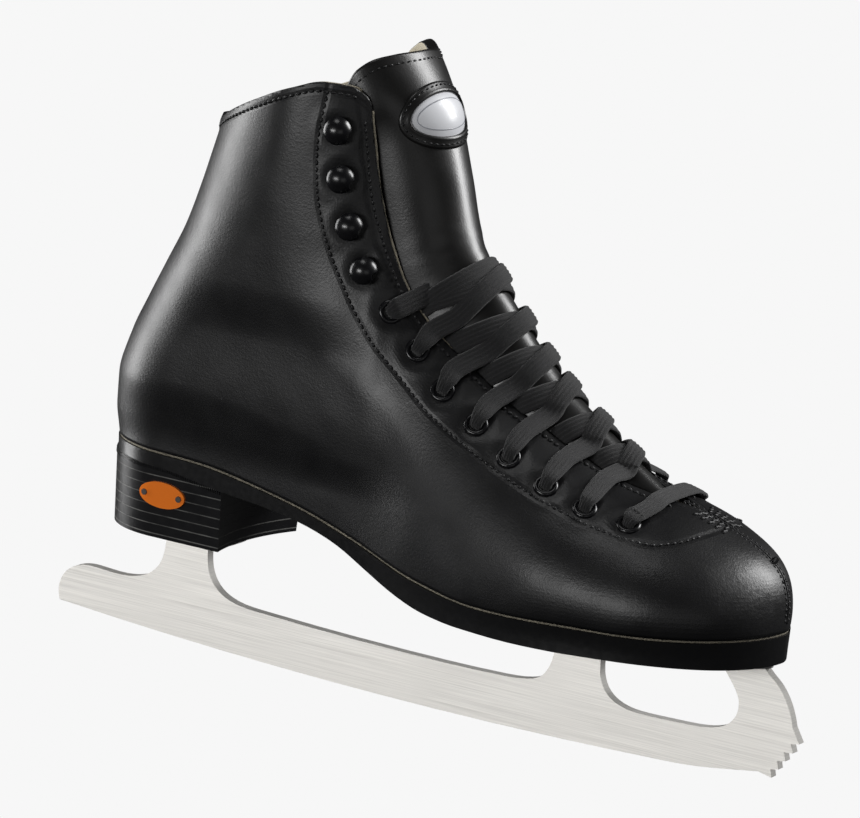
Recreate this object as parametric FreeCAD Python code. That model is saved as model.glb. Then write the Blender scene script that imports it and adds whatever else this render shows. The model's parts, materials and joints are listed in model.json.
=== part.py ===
import FreeCAD, Part
import math
import os

V = FreeCAD.Vector
os.makedirs("parts", exist_ok=True)

# Figure skate for the right foot. Millimetres, +X to the toe, +Z up, -Y is the outer side of the foot.
# The blade stands on z = 0 and its middle plane is y = 0.

LATERAL = -1
MEDIAL = 1
FIT = 0.05            # clearance kept between pieces that are glued, stitched or screwed together
LEATHER = 2.2         # outer leather
MIDDLE = 1.5          # stiffeners and padding between leather and lining
LINING = 0.8
TONGUE_THICKNESS = 4.0
LACE_WIDTH = 5.6
LACE_THICKNESS = 1.5
EYELET_OUTER = 4.35   # radius of the rolled flange
EYELET_BORE = 2.5
BLADE_HALF = 2.0
ROCKER = 2134.0       # radius of the curve the blade rocks on
HOLLOW = 12.7         # radius of the groove ground along the blade's edge
PLATE = 2.5
LIFT = 3.6            # one layer of the heel


# ---------- curves ----------
def smooth(t):
    t = min(1.0, max(0.0, t))
    return t * t * (3 - 2 * t)


def mix(a, b, k):
    return a + (b - a) * k


def through(points):
    """Smooth curve through (position, value) points that never overshoots and stays level beyond both ends."""
    xs = [p[0] for p in points]
    ys = [p[1] for p in points]
    n = len(xs)
    slopes = [(ys[i + 1] - ys[i]) / (xs[i + 1] - xs[i]) for i in range(n - 1)]
    tangents = [slopes[0]]
    for i in range(1, n - 1):
        before = slopes[i - 1]
        after = slopes[i]
        if before * after <= 0:
            tangents.append(0.0)
            continue
        wide = xs[i + 1] - xs[i - 1]
        weight_a = 2 * xs[i + 1] - xs[i] - xs[i - 1]
        weight_b = xs[i + 1] + xs[i] - 2 * xs[i - 1]
        tangents.append(3 * wide / (weight_a / after + weight_b / before))
    tangents.append(slopes[-1])

    def value(x):
        if x <= xs[0]:
            return ys[0]
        if x >= xs[-1]:
            return ys[-1]
        i = max(k for k in range(n - 1) if xs[k] <= x)
        h = xs[i + 1] - xs[i]
        t = (x - xs[i]) / h
        a = (1 + 2 * t) * (1 - t) ** 2 * ys[i] + t * t * (3 - 2 * t) * ys[i + 1]
        b = t * (1 - t) ** 2 * h * tangents[i] + t * t * (t - 1) * h * tangents[i + 1]
        return a + b

    return value


# ---------- the boot's form ----------
HEEL_END = -127.5
TOE_END = 139.4
feather = through([(-129, 77.5), (-85, 76.3), (-45, 70.2), (-15, 62.5), (15, 54.5), (40, 51.8),
                   (80, 53.5), (139, 56.5)])
RIDGE = [(139.4, 60), (139.2, 66), (137.6, 72), (134.4, 77.4), (127, 83), (116, 87.8), (104, 92), (88, 96),
         (75, 99.8), (61, 106), (46, 114.3), (32, 122.3), (20, 131.5), (9, 141.5), (0, 152), (-7, 164),
         (-12, 180), (-15, 198), (-18, 216), (-20, 235)]
ridge_z = through(sorted(RIDGE))
ridge_x = through([(z, x) for x, z in RIDGE])
back_x = through([(77, -127.5), (88, -129.6), (100, -129.3), (112, -126.7), (126, -121.1), (141, -114.6),
                  (155, -108.6), (170, -104.1), (185, -100.3), (196, -97.6), (220, -92)])
collar = through([(-98, 195.5), (-84, 203.5), (-70, 210.5), (-56, 216.8), (-44, 220.4), (-36, 220),
                  (-31, 217), (-28, 211)])
base_width = {
    LATERAL: through([(-129, 29.5), (-70, 29.5), (-30, 30.5), (10, 37.5), (40, 43.5), (65, 46), (88, 45.5)]),
    MEDIAL: through([(-129, 29.5), (-70, 28.5), (-30, 25.5), (5, 31), (35, 41), (65, 46), (88, 45)]),
}
shaft_width = through([(77, 29.5), (90, 33), (105, 34), (125, 33.5), (145, 36), (165, 36.5), (205, 37.5),
                       (235, 38)])
back_round = through([(77, 30), (100, 33), (130, 36), (160, 42), (200, 46)])
front_round = through([(77, 70), (140, 60), (170, 50), (200, 47)])
TOE_START = 88.0
TOE_ROUNDNESS = {LATERAL: 0.5, MEDIAL: 0.68}


def round_end(q):
    if q >= 1:
        return 1.0
    if q <= 0:
        return 0.0
    return math.sqrt(1 - (1 - q) ** 2)


def arch(t):
    t = min(1.0, max(0.0, t))
    return math.sqrt(max(0.0, 1 - t ** 2.2)) * (1 + 0.06 * math.sin(math.pi * t ** 0.7))


def half_width(side, x, z):
    """How far the boot's outer surface stands from the middle plane at (x, z)."""
    seam = feather(x)
    toward_toe = smooth((x + 35) / 50)
    above_seam = smooth((z - seam) / 28)
    width = mix(base_width[side](x), shaft_width(z), above_seam * (1 - toward_toe))
    toe = 1.0
    if x > TOE_START:
        toe = max(0.0, 1 - ((x - TOE_START) / (TOE_END - TOE_START)) ** 2) ** TOE_ROUNDNESS[side]
    foot = toe * arch((z - seam) / (ridge_z(x) - seam))
    shaft = round_end((ridge_x(z) - x) / front_round(z))
    heel = round_end((x - back_x(z)) / back_round(z))
    return width * heel * mix(shaft, foot, toward_toe)


# each level curve of the form runs from the back seam to the front ridge
FLOOR = 15.0
CEILING = 250.0
FRONT_LEVELS = [60, 66, 72, 77.4, 83, 87.8, 92, 96, 99.8, 106, 114.3, 122.3, 131.5, 141.5, 152, 164, 180, 198,
                216, 235, CEILING]
back_level = through([(56.5, 77.5), (66, 85), (77.4, 94), (92, 105), (106, 119), (131.5, 140), (152, 156),
                      (180, 177), (216, 208), (CEILING, CEILING)])
COLUMNS = 20


def spread(k):
    """Positions along a level curve, closer together at both ends."""
    return (1 - math.cos(math.pi * k / COLUMNS)) / 2


def level_row(side, front_z):
    start = (back_x(back_level(front_z)), back_level(front_z))
    stop = (ridge_x(front_z), front_z)
    sag = 1 - smooth((front_z - 56.5) / 75)
    row = []
    for k in range(COLUMNS + 1):
        u = spread(k)
        x = mix(start[0], stop[0], u)
        chord = mix(feather(HEEL_END), feather(TOE_END), (x - HEEL_END) / (TOE_END - HEEL_END))
        z = mix(start[1], stop[1], u) + sag * (feather(x) - chord) * smooth(6 * u * (1 - u))
        y = side * half_width(side, x, z)
        if k in (0, COLUMNS):
            y = 0.0
        row.append(V(x, y, z))
    return row


def skirt_row(side, drop):
    """Below the seam the form goes straight down; drop 0 is at the seam and 1 is at the floor."""
    row = []
    for k in range(COLUMNS + 1):
        x = mix(HEEL_END, TOE_END, spread(k))
        y = side * half_width(side, x, feather(x))
        if k in (0, COLUMNS):
            y = 0.0
        row.append(V(x, y, mix(feather(x), FLOOR, drop)))
    return row


def form_rows(side, inset):
    rows = [skirt_row(side, 1), skirt_row(side, 0.5), skirt_row(side, 0)]
    rows += [level_row(side, z) for z in FRONT_LEVELS]
    last = len(rows) - 1
    moved = []
    for i, row in enumerate(rows):
        above = rows[min(i + 1, last)]
        below = rows[max(i - 1, 0)]
        new_row = []
        for k, point in enumerate(row):
            along = row[min(k + 1, COLUMNS)] - row[max(k - 1, 0)]
            if k in (0, COLUMNS):
                along = V(0, 1, 0)
            normal = along.cross(above[k] - below[k])
            if k in (0, COLUMNS):
                normal.y = 0
            if i <= 2 or i >= last - 1:
                normal.z = 0
            normal.normalize()
            middle = V((HEEL_END + TOE_END) / 2 if i <= 6 else (row[0].x + row[-1].x) / 2, 0, point.z)
            if i > 6:
                middle.z = (row[0].z + row[-1].z) / 2 - 20
            if normal.dot(point - middle) < 0:
                normal = normal * -1
            new_point = point - normal * inset
            if k in (0, COLUMNS):
                new_point.y = 0
            new_row.append(new_point)
        moved.append(new_row)
    return moved


made_spacing = []


def row_spacing():
    """How far up each row lies, 0 to 1; the same for both halves, so that they meet exactly."""
    if not made_spacing:
        rows = form_rows(LATERAL, 0.0)
        run = [0.0]
        for below, above in zip(rows, rows[1:]):
            run.append(run[-1] + (above[COLUMNS // 2] - below[COLUMNS // 2]).Length)
        made_spacing.extend(r / run[-1] for r in run)
    return made_spacing


def smooth_skin(rows):
    """A smooth surface through every row of points."""
    columns = len(rows[0]) - 1
    across = [k / columns for k in range(columns + 1)]
    climb = row_spacing()
    row_poles = []
    for row in rows:
        curve = Part.BSplineCurve()
        curve.interpolate(Points=row, Parameters=across)
        row_poles.append(curve.getPoles())
    lines = []
    for k in range(len(row_poles[0])):
        line = Part.BSplineCurve()
        line.interpolate(Points=[poles[k] for poles in row_poles], Parameters=climb)
        lines.append(line)
    surface = Part.BSplineSurface()
    poles = [line.getPoles() for line in lines]
    surface.buildFromPolesMultsKnots(poles, curve.getMultiplicities(), lines[0].getMultiplicities(),
                                     curve.getKnots(), lines[0].getKnots(), False, False,
                                     curve.Degree, lines[0].Degree)
    return surface


made_halves = {}


def half_form(side, inset=0.0):
    """One half of the form, made smaller by inset (larger if inset is negative)."""
    key = (side, inset)
    if key in made_halves:
        return made_halves[key]
    skin = smooth_skin(form_rows(side, inset)).toShape()
    edges = skin.Edges
    floor_edge = min(edges, key=lambda e: e.CenterOfMass.z)
    top_edge = max(edges, key=lambda e: e.CenterOfMass.z)
    sides = [e for e in edges if not e.isSame(floor_edge) and not e.isSame(top_edge)]

    def closing(edge):
        a = edge.Vertexes[0].Point
        b = edge.Vertexes[1].Point
        return Part.makeLine(a, b)

    floor_line = closing(floor_edge)
    top_line = closing(top_edge)
    faces = [skin]
    faces.append(Part.Face(Part.Wire(Part.__sortEdges__([floor_edge, floor_line]))))
    faces.append(Part.Face(Part.Wire(Part.__sortEdges__([top_edge, top_line]))))
    faces.append(Part.Face(Part.Wire(Part.__sortEdges__([floor_line, top_line] + sides))))
    shell = Part.makeShell(faces)
    shell.sewShape()
    solid = Part.makeSolid(shell)
    if solid.Volume < 0:
        solid.reverse()
    made_halves[key] = solid
    return solid


def one_solid(shape):
    return max(shape.Solids, key=lambda s: s.Volume)


def sheet(outer, inner):
    return outer.cut(inner)


# ---------- cutters seen from the side ----------
def side_curve(points):
    curve = Part.BSplineCurve()
    curve.interpolate([V(x, 0, z) for x, z in points])
    return curve.toShape()


def sample(low, high, count, value):
    step = (high - low) / count
    return [(low + step * k, value(low + step * k)) for k in range(count + 1)]


def between(lower, upper, x0, x1, y0=-70.0, y1=70.0, count=40):
    """Everything between two curves seen from the side, from y0 to y1."""
    low = sample(x0, x1, count, lower)
    high = sample(x0, x1, count, upper)
    edges = [side_curve(low), side_curve(high)]
    edges.append(Part.makeLine(V(x0, 0, low[0][1]), V(x0, 0, high[0][1])))
    edges.append(Part.makeLine(V(x1, 0, low[-1][1]), V(x1, 0, high[-1][1])))
    face = Part.Face(Part.Wire(Part.__sortEdges__(edges)))
    face.translate(V(0, y0, 0))
    return face.extrude(V(0, y1 - y0, 0))


def level(z):
    return lambda x: z


def raised(curve, amount):
    return lambda x: curve(x) + amount


def flat_polygon(points, y0, y1):
    corners = [V(x, y0, z) for x, z in points]
    face = Part.Face(Part.makePolygon(corners + corners[:1]))
    return face.extrude(V(0, y1 - y0, 0))


def box(x0, x1, y0, y1, z0, z1):
    return Part.makeBox(x1 - x0, y1 - y0, z1 - z0, V(x0, y0, z0))


# ---------- the throat between the two facings ----------
# along the throat: position of the facing's edge seen from the side, and half the opening's width there
THROAT = [(101.5, 93.2, 0.6), (87.4, 95.6, 7), (74.8, 98.8, 9.8), (61.3, 104.1, 11.5), (45.9, 111.4, 13.8),
          (32, 117.8, 15.2), (19.5, 126.1, 15.8), (9.4, 132.5, 17), (-0.6, 140.5, 18.8), (-9.7, 151.5, 20.5),
          (-17.9, 168, 22.2), (-23.9, 184.8, 23), (-26.6, 198.6, 24), (-29.1, 211.7, 24.5), (-31.5, 240, 25)]
run = [0.0]
for here, after in zip(THROAT, THROAT[1:]):
    run.append(run[-1] + math.hypot(after[0] - here[0], after[1] - here[1]))
THROAT_LENGTH = run[-1]
throat_x = through([(s, p[0]) for s, p in zip(run, THROAT)])
throat_z = through([(s, p[1]) for s, p in zip(run, THROAT)])
throat_half = through([(s, p[2]) for s, p in zip(run, THROAT)])


def direction(x_of, z_of, s, step=2.0):
    """Unit vectors along a side-view line (towards the cuff) and square to it (out of the boot)."""
    along = V(x_of(s + step) - x_of(s - step), 0, z_of(s + step) - z_of(s - step))
    along.normalize()
    return along, V(along.z, 0, -along.x)


def throat_cutter(widen):
    """The space between the facings; widen moves both sides outward."""
    sections = []
    count = 26
    for k in range(count + 1):
        s = THROAT_LENGTH * k / count
        along, out = direction(throat_x, throat_z, s)
        middle = V(throat_x(s), 0, throat_z(s))
        half = throat_half(s) + widen
        low = middle - out * 16
        high = middle + out * 60
        corners = [low + V(0, -half, 0), low + V(0, half, 0), high + V(0, half, 0), high + V(0, -half, 0)]
        sections.append(Part.makePolygon(corners + corners[:1]))
    return Part.makeLoft(sections, True, True)


# ---------- tongue ----------
# front line of the tongue seen from the side, half its width, and how far its edges fold back
TONGUE = [(85.4, 97.7, 6.4, 7), (62.7, 110, 10.6, 11), (43.4, 122.9, 13.6, 16), (29.3, 136.3, 14.9, 23),
          (18.9, 148.9, 16.8, 29), (10.2, 160.2, 18.6, 30), (4.4, 171.6, 19.8, 28), (-1.8, 190.5, 20.2, 25),
          (-7.5, 206.4, 20.6, 23), (-11.8, 216.2, 21.4, 22), (-18, 226, 23.6, 21), (-23.5, 234, 24.6, 20)]
tongue_run = [0.0]
for here, after in zip(TONGUE, TONGUE[1:]):
    tongue_run.append(tongue_run[-1] + math.hypot(after[0] - here[0], after[1] - here[1]))
TONGUE_LENGTH = tongue_run[-1]
tongue_x = through([(s, p[0]) for s, p in zip(tongue_run, TONGUE)])
tongue_z = through([(s, p[1]) for s, p in zip(tongue_run, TONGUE)])
tongue_half = through([(s, p[2]) for s, p in zip(tongue_run, TONGUE)])
tongue_depth = through([(s, p[3]) for s, p in zip(tongue_run, TONGUE)])
FLEX = tongue_run[6]          # where the tongue folds forward
FLEX_POINT = V(4.4, 0, 171.6)


def tongue_frame(s):
    s = min(TONGUE_LENGTH, max(0.0, s))
    ahead = min(TONGUE_LENGTH, s + 2)
    behind = max(0.0, s - 2)
    along = V(tongue_x(ahead) - tongue_x(behind), 0, tongue_z(ahead) - tongue_z(behind))
    along.normalize()
    return V(tongue_x(s), 0, tongue_z(s)), along, V(along.z, 0, -along.x)


def tongue_point(s, angle, rise):
    """A point over the tongue: angle runs -90 to 90 from its lateral edge to its medial edge."""
    middle, along, out = tongue_frame(s)
    a = math.radians(angle)
    y = (tongue_half(s) + rise) * math.sin(a)
    drop = (tongue_depth(s) + rise) * (1 - math.cos(a))
    return middle + V(0, y, 0) + out * (rise - drop)


def tongue_sheet(s0, s1, inner, outer, count):
    sections = []
    for k in range(count + 1):
        s = mix(s0, s1, k / count)
        front = Part.BSplineCurve()
        front.interpolate([tongue_point(s, -90 + 180 * j / 10, outer) for j in range(11)])
        back = Part.BSplineCurve()
        back.interpolate([tongue_point(s, -90 + 180 * j / 10, inner) for j in range(11)])
        a = Part.makeLine(tongue_point(s, 90, outer), tongue_point(s, 90, inner))
        b = Part.makeLine(tongue_point(s, -90, inner), tongue_point(s, -90, outer))
        back.reverse()
        sections.append(Part.Wire([front.toShape(), a, back.toShape(), b]))
    return Part.makeLoft(sections, True, False)


# ---------- eyelets, hooks and laces ----------
EYELETS = [(-12.5, 143.9), (-1.5, 132.0), (10.6, 120.3), (25.6, 111.2), (40.6, 102.9), (56.6, 96.2),
           (72.0, 91.3), (88.2, 88.6)]
HOOKS = [(-37.9, 204.5), (-35.1, 187.9), (-30.5, 171.5), (-23.5, 156.7)]


def surface_place(side, x, z):
    """Point on the leather at (x, z) and the direction straight out of it."""
    h = 1.5
    here = V(x, side * half_width(side, x, z), z)
    across_x = V(2 * h, side * (half_width(side, x + h, z) - half_width(side, x - h, z)), 0)
    across_z = V(0, side * (half_width(side, x, z + h) - half_width(side, x, z - h)), 2 * h)
    out = across_x.cross(across_z)
    out.normalize()
    if out.y * side < 0:
        out = out * -1
    return here, out


def disc(place, out, radius, bottom, top):
    return Part.makeCylinder(radius, top - bottom, place + out * bottom, out)


def eyelet(place, out, grow=0.0):
    """Rolled ring on the leather with a barrel through it; grow gives the space it needs."""
    barrel = disc(place, out, EYELET_BORE + 0.55 + grow, -4.75, 0.3)
    if grow:
        return barrel.fuse(disc(place, out, EYELET_OUTER + grow, -0.75, 4))
    flange = disc(place, out, EYELET_OUTER, -0.7, -0.1)
    roll = (EYELET_OUTER - EYELET_BORE) / 2
    rolled_rim = Part.makeTorus(EYELET_OUTER - roll, roll, place - out * 0.1, out)
    rolled_rim = rolled_rim.common(disc(place, out, EYELET_OUTER + 1, -0.7, 2))
    ring = barrel.fuse([flange, rolled_rim])
    ring = ring.cut(disc(place, out, EYELET_BORE, -8, 3))
    return ring.removeSplitter()


def hook(place, out, grow=0.0):
    """Speed hook: a base on the leather, a post through it and a domed head, notched toward the toe."""
    post = disc(place, out, 1.6 + grow, -5.6, 3.6)
    base = disc(place, out, 4.2 + grow, -0.75 - grow, 0.4)
    if grow:
        return post.fuse(disc(place, out, 4.2 + grow, -0.75, 6))
    washer = disc(place, out, 3.0, -5.6, -4.9)
    ball = Part.makeSphere(5.6, place + out * 1.4)
    head = ball.common(disc(place, out, 4.9, 2.9, 9))
    toward_toe = V(1, 0, -0.25) - out * out.dot(V(1, 0, -0.25))
    toward_toe.normalize()
    head = head.cut(disc(place + toward_toe * 5.3, out, 1.9, 2, 9))
    return post.fuse([base, head, washer]).removeSplitter()


def band(points, outs, width, thickness):
    """A flat lace through a row of points; outs are the directions its face looks."""
    sections = []
    last = len(points) - 1
    for k, point in enumerate(points):
        along = points[min(k + 1, last)] - points[max(k - 1, 0)]
        along.normalize()
        across = along.cross(outs[k])
        across.normalize()
        face = across.cross(along)
        w = across * (width / 2)
        t = face * (thickness / 2)
        corners = [point - w - t, point + w - t, point + w + t, point - w + t]
        sections.append(Part.makePolygon(corners + corners[:1]))
    return Part.makeLoft(sections, True, True)


# ---------- heel ----------
GROUND_OF_HEEL = 44.4
TOP_PIECE = 5.0
BREAST = -72.0
sole_bottom = through([(-129, 72), (-100, 71.4), (-72, 67.6), (-55, 66), (-39, 63.6), (-27, 60.6), (-18, 57.4),
                       (-8, 52.8), (7, 46.8), (18, 44), (32, 42.6), (50, 42.4), (72, 43), (93, 44.2),
                       (109, 44.9), (139, 45.6)])


def heel_wire(z, rear, width, grow):
    """Outline of the heel at height z: a hollowed breast, straight sides and an oval back."""
    half = width + grow
    length = 27.0 + grow
    centre = rear + 27.0
    front = BREAST + grow
    inner_front = front + 3.0
    breast = Part.Arc(V(inner_front, half, z), V(front - 2.0, 0, z), V(front, -half, z)).toShape()
    points = []
    for k in range(17):
        a = math.radians(90 + 180 * k / 16)
        points.append(V(centre + length * math.cos(a), half * math.sin(a), z))
    back = Part.BSplineCurve()
    back.interpolate(points)
    inner_side = Part.makeLine(V(inner_front, half, z), points[0])
    outer_side = Part.makeLine(points[-1], V(front, -half, z))
    return Part.Wire([inner_side, back.toShape(), outer_side, breast])


def heel_block(grow=0.0):
    return Part.makeLoft([heel_wire(GROUND_OF_HEEL, -126.9, 25.7, grow), heel_wire(78, -128.3, 28.2, grow)],
                         True, True)


# ---------- plates and screws ----------
TOE_SCREWS = [(53, 12.5), (71, 15.5), (90, 15), (107, 11), (121, 6)]
HEEL_SCREWS = [(-115, 8), (-100, 9.5), (-85, 8.5)]
SCREW_LENGTH = 10.3
HEAD_RECESS = 0.22       # the heads lie this far inside the plate, so none stands proud where it curves


def toe_plate_top(x):
    return sole_bottom(x) - FIT


def heel_plate_top(x):
    return GROUND_OF_HEEL - FIT


def plate(points, top):
    """A pressed plate that follows the surface above it, the same on both sides of the middle."""
    outline = [V(x, y, 30) for x, y in points]
    outline += [V(x, -y, 30) for x, y in reversed(points) if y > 0]
    curve = Part.BSplineCurve()
    curve.interpolate(Points=outline, PeriodicFlag=True)
    prism = Part.Face(Part.Wire(curve.toShape())).extrude(V(0, 0, 30))
    start = min(x for x, y in points) - 5
    stop = max(x for x, y in points) + 5
    return prism.common(between(lambda x: top(x) - PLATE, top, start, stop, -30, 30))


def screw(x, y, underside, grow=0.0):
    """Countersunk screw from below: flush head, plain shank, short point, a cross slot in the head."""
    head = Part.makeCone(3.6 + grow, 1.7 + grow, 1.9, V(x, y, underside))
    shank = Part.makeCylinder(1.7 + grow, SCREW_LENGTH - 3 + grow, V(x, y, underside))
    point = Part.makeCone(1.7 + grow, 0.5 + grow, 3 + grow, V(x, y, underside + SCREW_LENGTH - 3 + grow))
    if grow:
        mouth = Part.makeCylinder(3.6 + grow, 0.7, V(x, y, underside - 0.7))
        return head.fuse([shank, point, mouth])
    body = head.fuse([shank, point])
    for turn in (0, 90):
        slot = Part.makeBox(3.6, 0.8, 1.0, V(x - 1.8, y - 0.4, underside - 0.2))
        slot.rotate(V(x, y, 0), V(0, 0, 1), turn)
        body = body.cut(slot)
    return body


def screws(places, top, grow=0.0):
    made = []
    for x, y in places:
        for side in (LATERAL, MEDIAL):
            made.append(screw(x, side * y, top(x) - PLATE + HEAD_RECESS, grow))
    return made


# ---------- blade ----------
TAIL = -149.4
ROCKER_LOW = 12.0


def rocker_z(x):
    return ROCKER - math.sqrt(ROCKER ** 2 - (x - ROCKER_LOW) ** 2)


def blade_shape():
    toe_top = 46.0
    heel_top = heel_plate_top(-98) - PLATE - 0.02
    runner_end = 100.0
    middle = -25.0
    edges = []

    def line(a, b):
        edges.append(Part.makeLine(V(a[0], 0, a[1]), V(b[0], 0, b[1])))

    def curve(*points):
        edges.append(side_curve(points))

    edges.append(Part.Arc(V(TAIL, 0, rocker_z(TAIL)), V(middle, 0, rocker_z(middle)),
                          V(runner_end, 0, rocker_z(runner_end))).toShape())
    curve((runner_end, rocker_z(runner_end)), (117, 3.2), (130, 5.2), (136.4, 6.2))
    teeth = [(136.4, 6.2), (141.5, 5.1), (140.8, 8), (143.7, 8.5), (142.9, 11.5), (146, 12), (145, 15.1),
             (148.4, 15.4), (147.2, 18.5), (150.35, 19.1), (147.2, 24.2)]
    for a, b in zip(teeth, teeth[1:]):
        line(a, b)
    curve((147.2, 24.2), (145.4, 29.4), (142.6, 34.5), (139.2, 38.4), (135.6, 41.4), (133, toe_top))
    line((133, toe_top), (116.2, toe_top))
    curve((116.2, toe_top), (118, 41), (123.2, 34.2), (126, 28.4), (125.2, 23.2), (122, 19.6), (117.6, 17.8), (104, 16.5),
          (91, 16.2), (81, 17.4), (75, 21.1), (72.4, 26.3), (71.8, 32), (71.6, toe_top))
    line((71.6, toe_top), (54.4, toe_top))
    curve((54.4, toe_top), (53.6, 32), (52.2, 25.2), (49.5, 21.2), (44.3, 19), (33.5, 17.9), (-7, 17.6),
          (-42, 18.3), (-65, 19.2), (-78.4, 21), (-83.6, 23.7), (-87, 27.6), (-88.8, 32.5), (-88.9, heel_top))
    line((-88.9, heel_top), (-107, heel_top))
    curve((-107, heel_top), (-107.1, 35.1), (-107.9, 30.6), (-109.9, 26.7), (-113.4, 23.6), (-117.8, 21.8),
          (-130.4, 21), (-143.2, 20.4), (-147.8, 17.4), (-150, 13.4), (-150.35, 9.3), (TAIL, rocker_z(TAIL)))
    face = Part.Face(Part.Wire(Part.__sortEdges__(edges)))
    face.translate(V(0, -BLADE_HALF, 0))
    body = face.extrude(V(0, 2 * BLADE_HALF, 0))
    depth = HOLLOW - math.sqrt(HOLLOW ** 2 - BLADE_HALF ** 2)
    wheel = Part.makeTorus(ROCKER + HOLLOW - depth, HOLLOW, V(ROCKER_LOW, 0, ROCKER), V(0, 1, 0))
    over_plate = between(lambda x: toe_plate_top(x) - PLATE - FIT, level(60), 40, 145, -10, 10)
    return body.cut([wheel, over_plate])


# ---------- pieces ----------
def envelope(rise, drop):
    """Everything above the sole and under the collar."""
    return between(raised(feather, rise), raised(collar, drop), -140.0, 145.0, count=40)


def layer(side, outer, inner):
    return sheet(half_form(side, outer), half_form(side, inner))


counter_top = through([(-140, 116), (-95, 110), (-50, 92), (-15, 74)])
pieces = {}
open_throat = throat_cutter(0)
stay_throat = throat_cutter(0.8)
stay_outer = throat_cutter(17)
pad_edge = throat_cutter(17.4)
middle_gap = box(-150, 150, -0.03, 0.03, 0, 260)
eyelet_places = {}
hook_places = {}
through_holes = {}
for side in (LATERAL, MEDIAL):
    eyelet_places[side] = [surface_place(side, x, z) for x, z in EYELETS]
    hook_places[side] = [surface_place(side, x, z) for x, z in HOOKS]
    spaces = [eyelet(p, out, FIT) for p, out in eyelet_places[side]]
    spaces += [hook(p, out, FIT) for p, out in hook_places[side]]
    through_holes[side] = spaces

outside = envelope(FIT, 0)
lining_envelope = envelope(FIT, -1.0)
stay_envelope = envelope(FIT, -4.0)
pad_envelope = between(raised(counter_top, 0.3), raised(collar, -6), -140.0, -12.0)
counter_envelope = between(raised(feather, FIT), counter_top, -140.0, -18.0)
NAMES = {LATERAL: "lateral", MEDIAL: "medial"}
for side in (LATERAL, MEDIAL):
    holes = through_holes[side]
    name = NAMES[side]
    upper = layer(side, 0.0, LEATHER).common(outside).cut([open_throat, middle_gap] + holes)
    pieces["upper_" + name] = one_solid(upper)
    lining = layer(side, LEATHER + MIDDLE + 2 * FIT, LEATHER + MIDDLE + LINING + 2 * FIT)
    lining = lining.common(lining_envelope).cut([open_throat, middle_gap] + holes)
    pieces["lining_" + name] = one_solid(lining)
    core = layer(side, LEATHER + FIT, LEATHER + MIDDLE + FIT)
    stay = core.common(stay_envelope).common(stay_outer).cut([stay_throat, middle_gap] + holes)
    pieces["facing_stay_" + name] = one_solid(stay)
    pad = core.common(pad_envelope).cut([pad_edge, middle_gap])
    pieces["ankle_padding_" + name] = one_solid(pad)



def both_halves(outer, inner, space):
    """A skin that runs across the middle, kept where it lies in space."""
    first = layer(LATERAL, outer, inner).common(space)
    second = layer(MEDIAL, outer, inner).common(space)
    return one_solid(first.fuse(second))


toe_zone = between(raised(feather, FIT), level(120), 108.0, 145.0)
pieces["heel_counter"] = both_halves(LEATHER + FIT, LEATHER + MIDDLE + FIT, counter_envelope.cut(pad_edge))
pieces["toe_puff"] = both_halves(LEATHER + FIT, LEATHER + MIDDLE + FIT, toe_zone)
strip_space = envelope(0.6, 1.0).common(box(-145, -84, -4.4, 4.4, 60, 230))
pieces["backstay"] = both_halves(-1.6, -FIT, strip_space)

def filled(inset, space):
    """A solid slice of the form, kept where it lies in space."""
    first = half_form(LATERAL, inset).common(space)
    second = half_form(MEDIAL, inset).common(space)
    return one_solid(first.fuse(second))


inside = LEATHER + MIDDLE + LINING + 0.3
pieces["insole_board"] = filled(inside, between(raised(feather, FIT), raised(feather, 2.2), -140.0, 145.0))
pieces["footbed"] = filled(inside, between(raised(feather, 2.25), raised(feather, 5.4), -140.0, 145.0))
pieces["midsole"] = filled(0.3, between(raised(feather, -0.75), raised(feather, -FIT), -140.0, 145.0))
shank_space = between(raised(feather, -2.5), raised(feather, -0.7), -100.0, 25.0, -7.05, 7.05)
pieces["shank"] = between(raised(feather, -2.4), raised(feather, -0.85), -99.9, 24.9, -7.0, 7.0)
toe_screw_space = screws(TOE_SCREWS, toe_plate_top, FIT)
heel_screw_space = screws(HEEL_SCREWS, heel_plate_top, FIT)
outsole = filled(-0.3, between(sole_bottom, raised(feather, -0.9), -140.0, 145.0))
pieces["outsole"] = one_solid(outsole.cut([shank_space] + toe_screw_space))

block = heel_block().common(between(level(0), raised(sole_bottom, -FIT), -140.0, -60.0))
block = block.cut(heel_screw_space)

# heel badge on the outer side
BADGE_AT = V(-96, -26.9, 60.8)
BADGE_OUT = V(-0.03, -1, -0.07)
BADGE_OUT.normalize()


def badge_cylinder(grow, across=9.5, tall=4.8):
    """An oval prism pointing out of the heel."""
    start = BADGE_AT - BADGE_OUT * 8
    oval = Part.Ellipse(V(0, 0, 0), across + grow, tall + grow)
    face = Part.Face(Part.Wire(oval.toShape()))
    sideways = V(0, 0, 1).cross(BADGE_OUT)
    sideways.normalize()
    upward = BADGE_OUT.cross(sideways)
    turn = FreeCAD.Rotation(sideways, upward, BADGE_OUT, "ZXY")
    face.Placement = FreeCAD.Placement(start, turn)
    return face.extrude(BADGE_OUT * 20), sideways, upward


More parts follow.
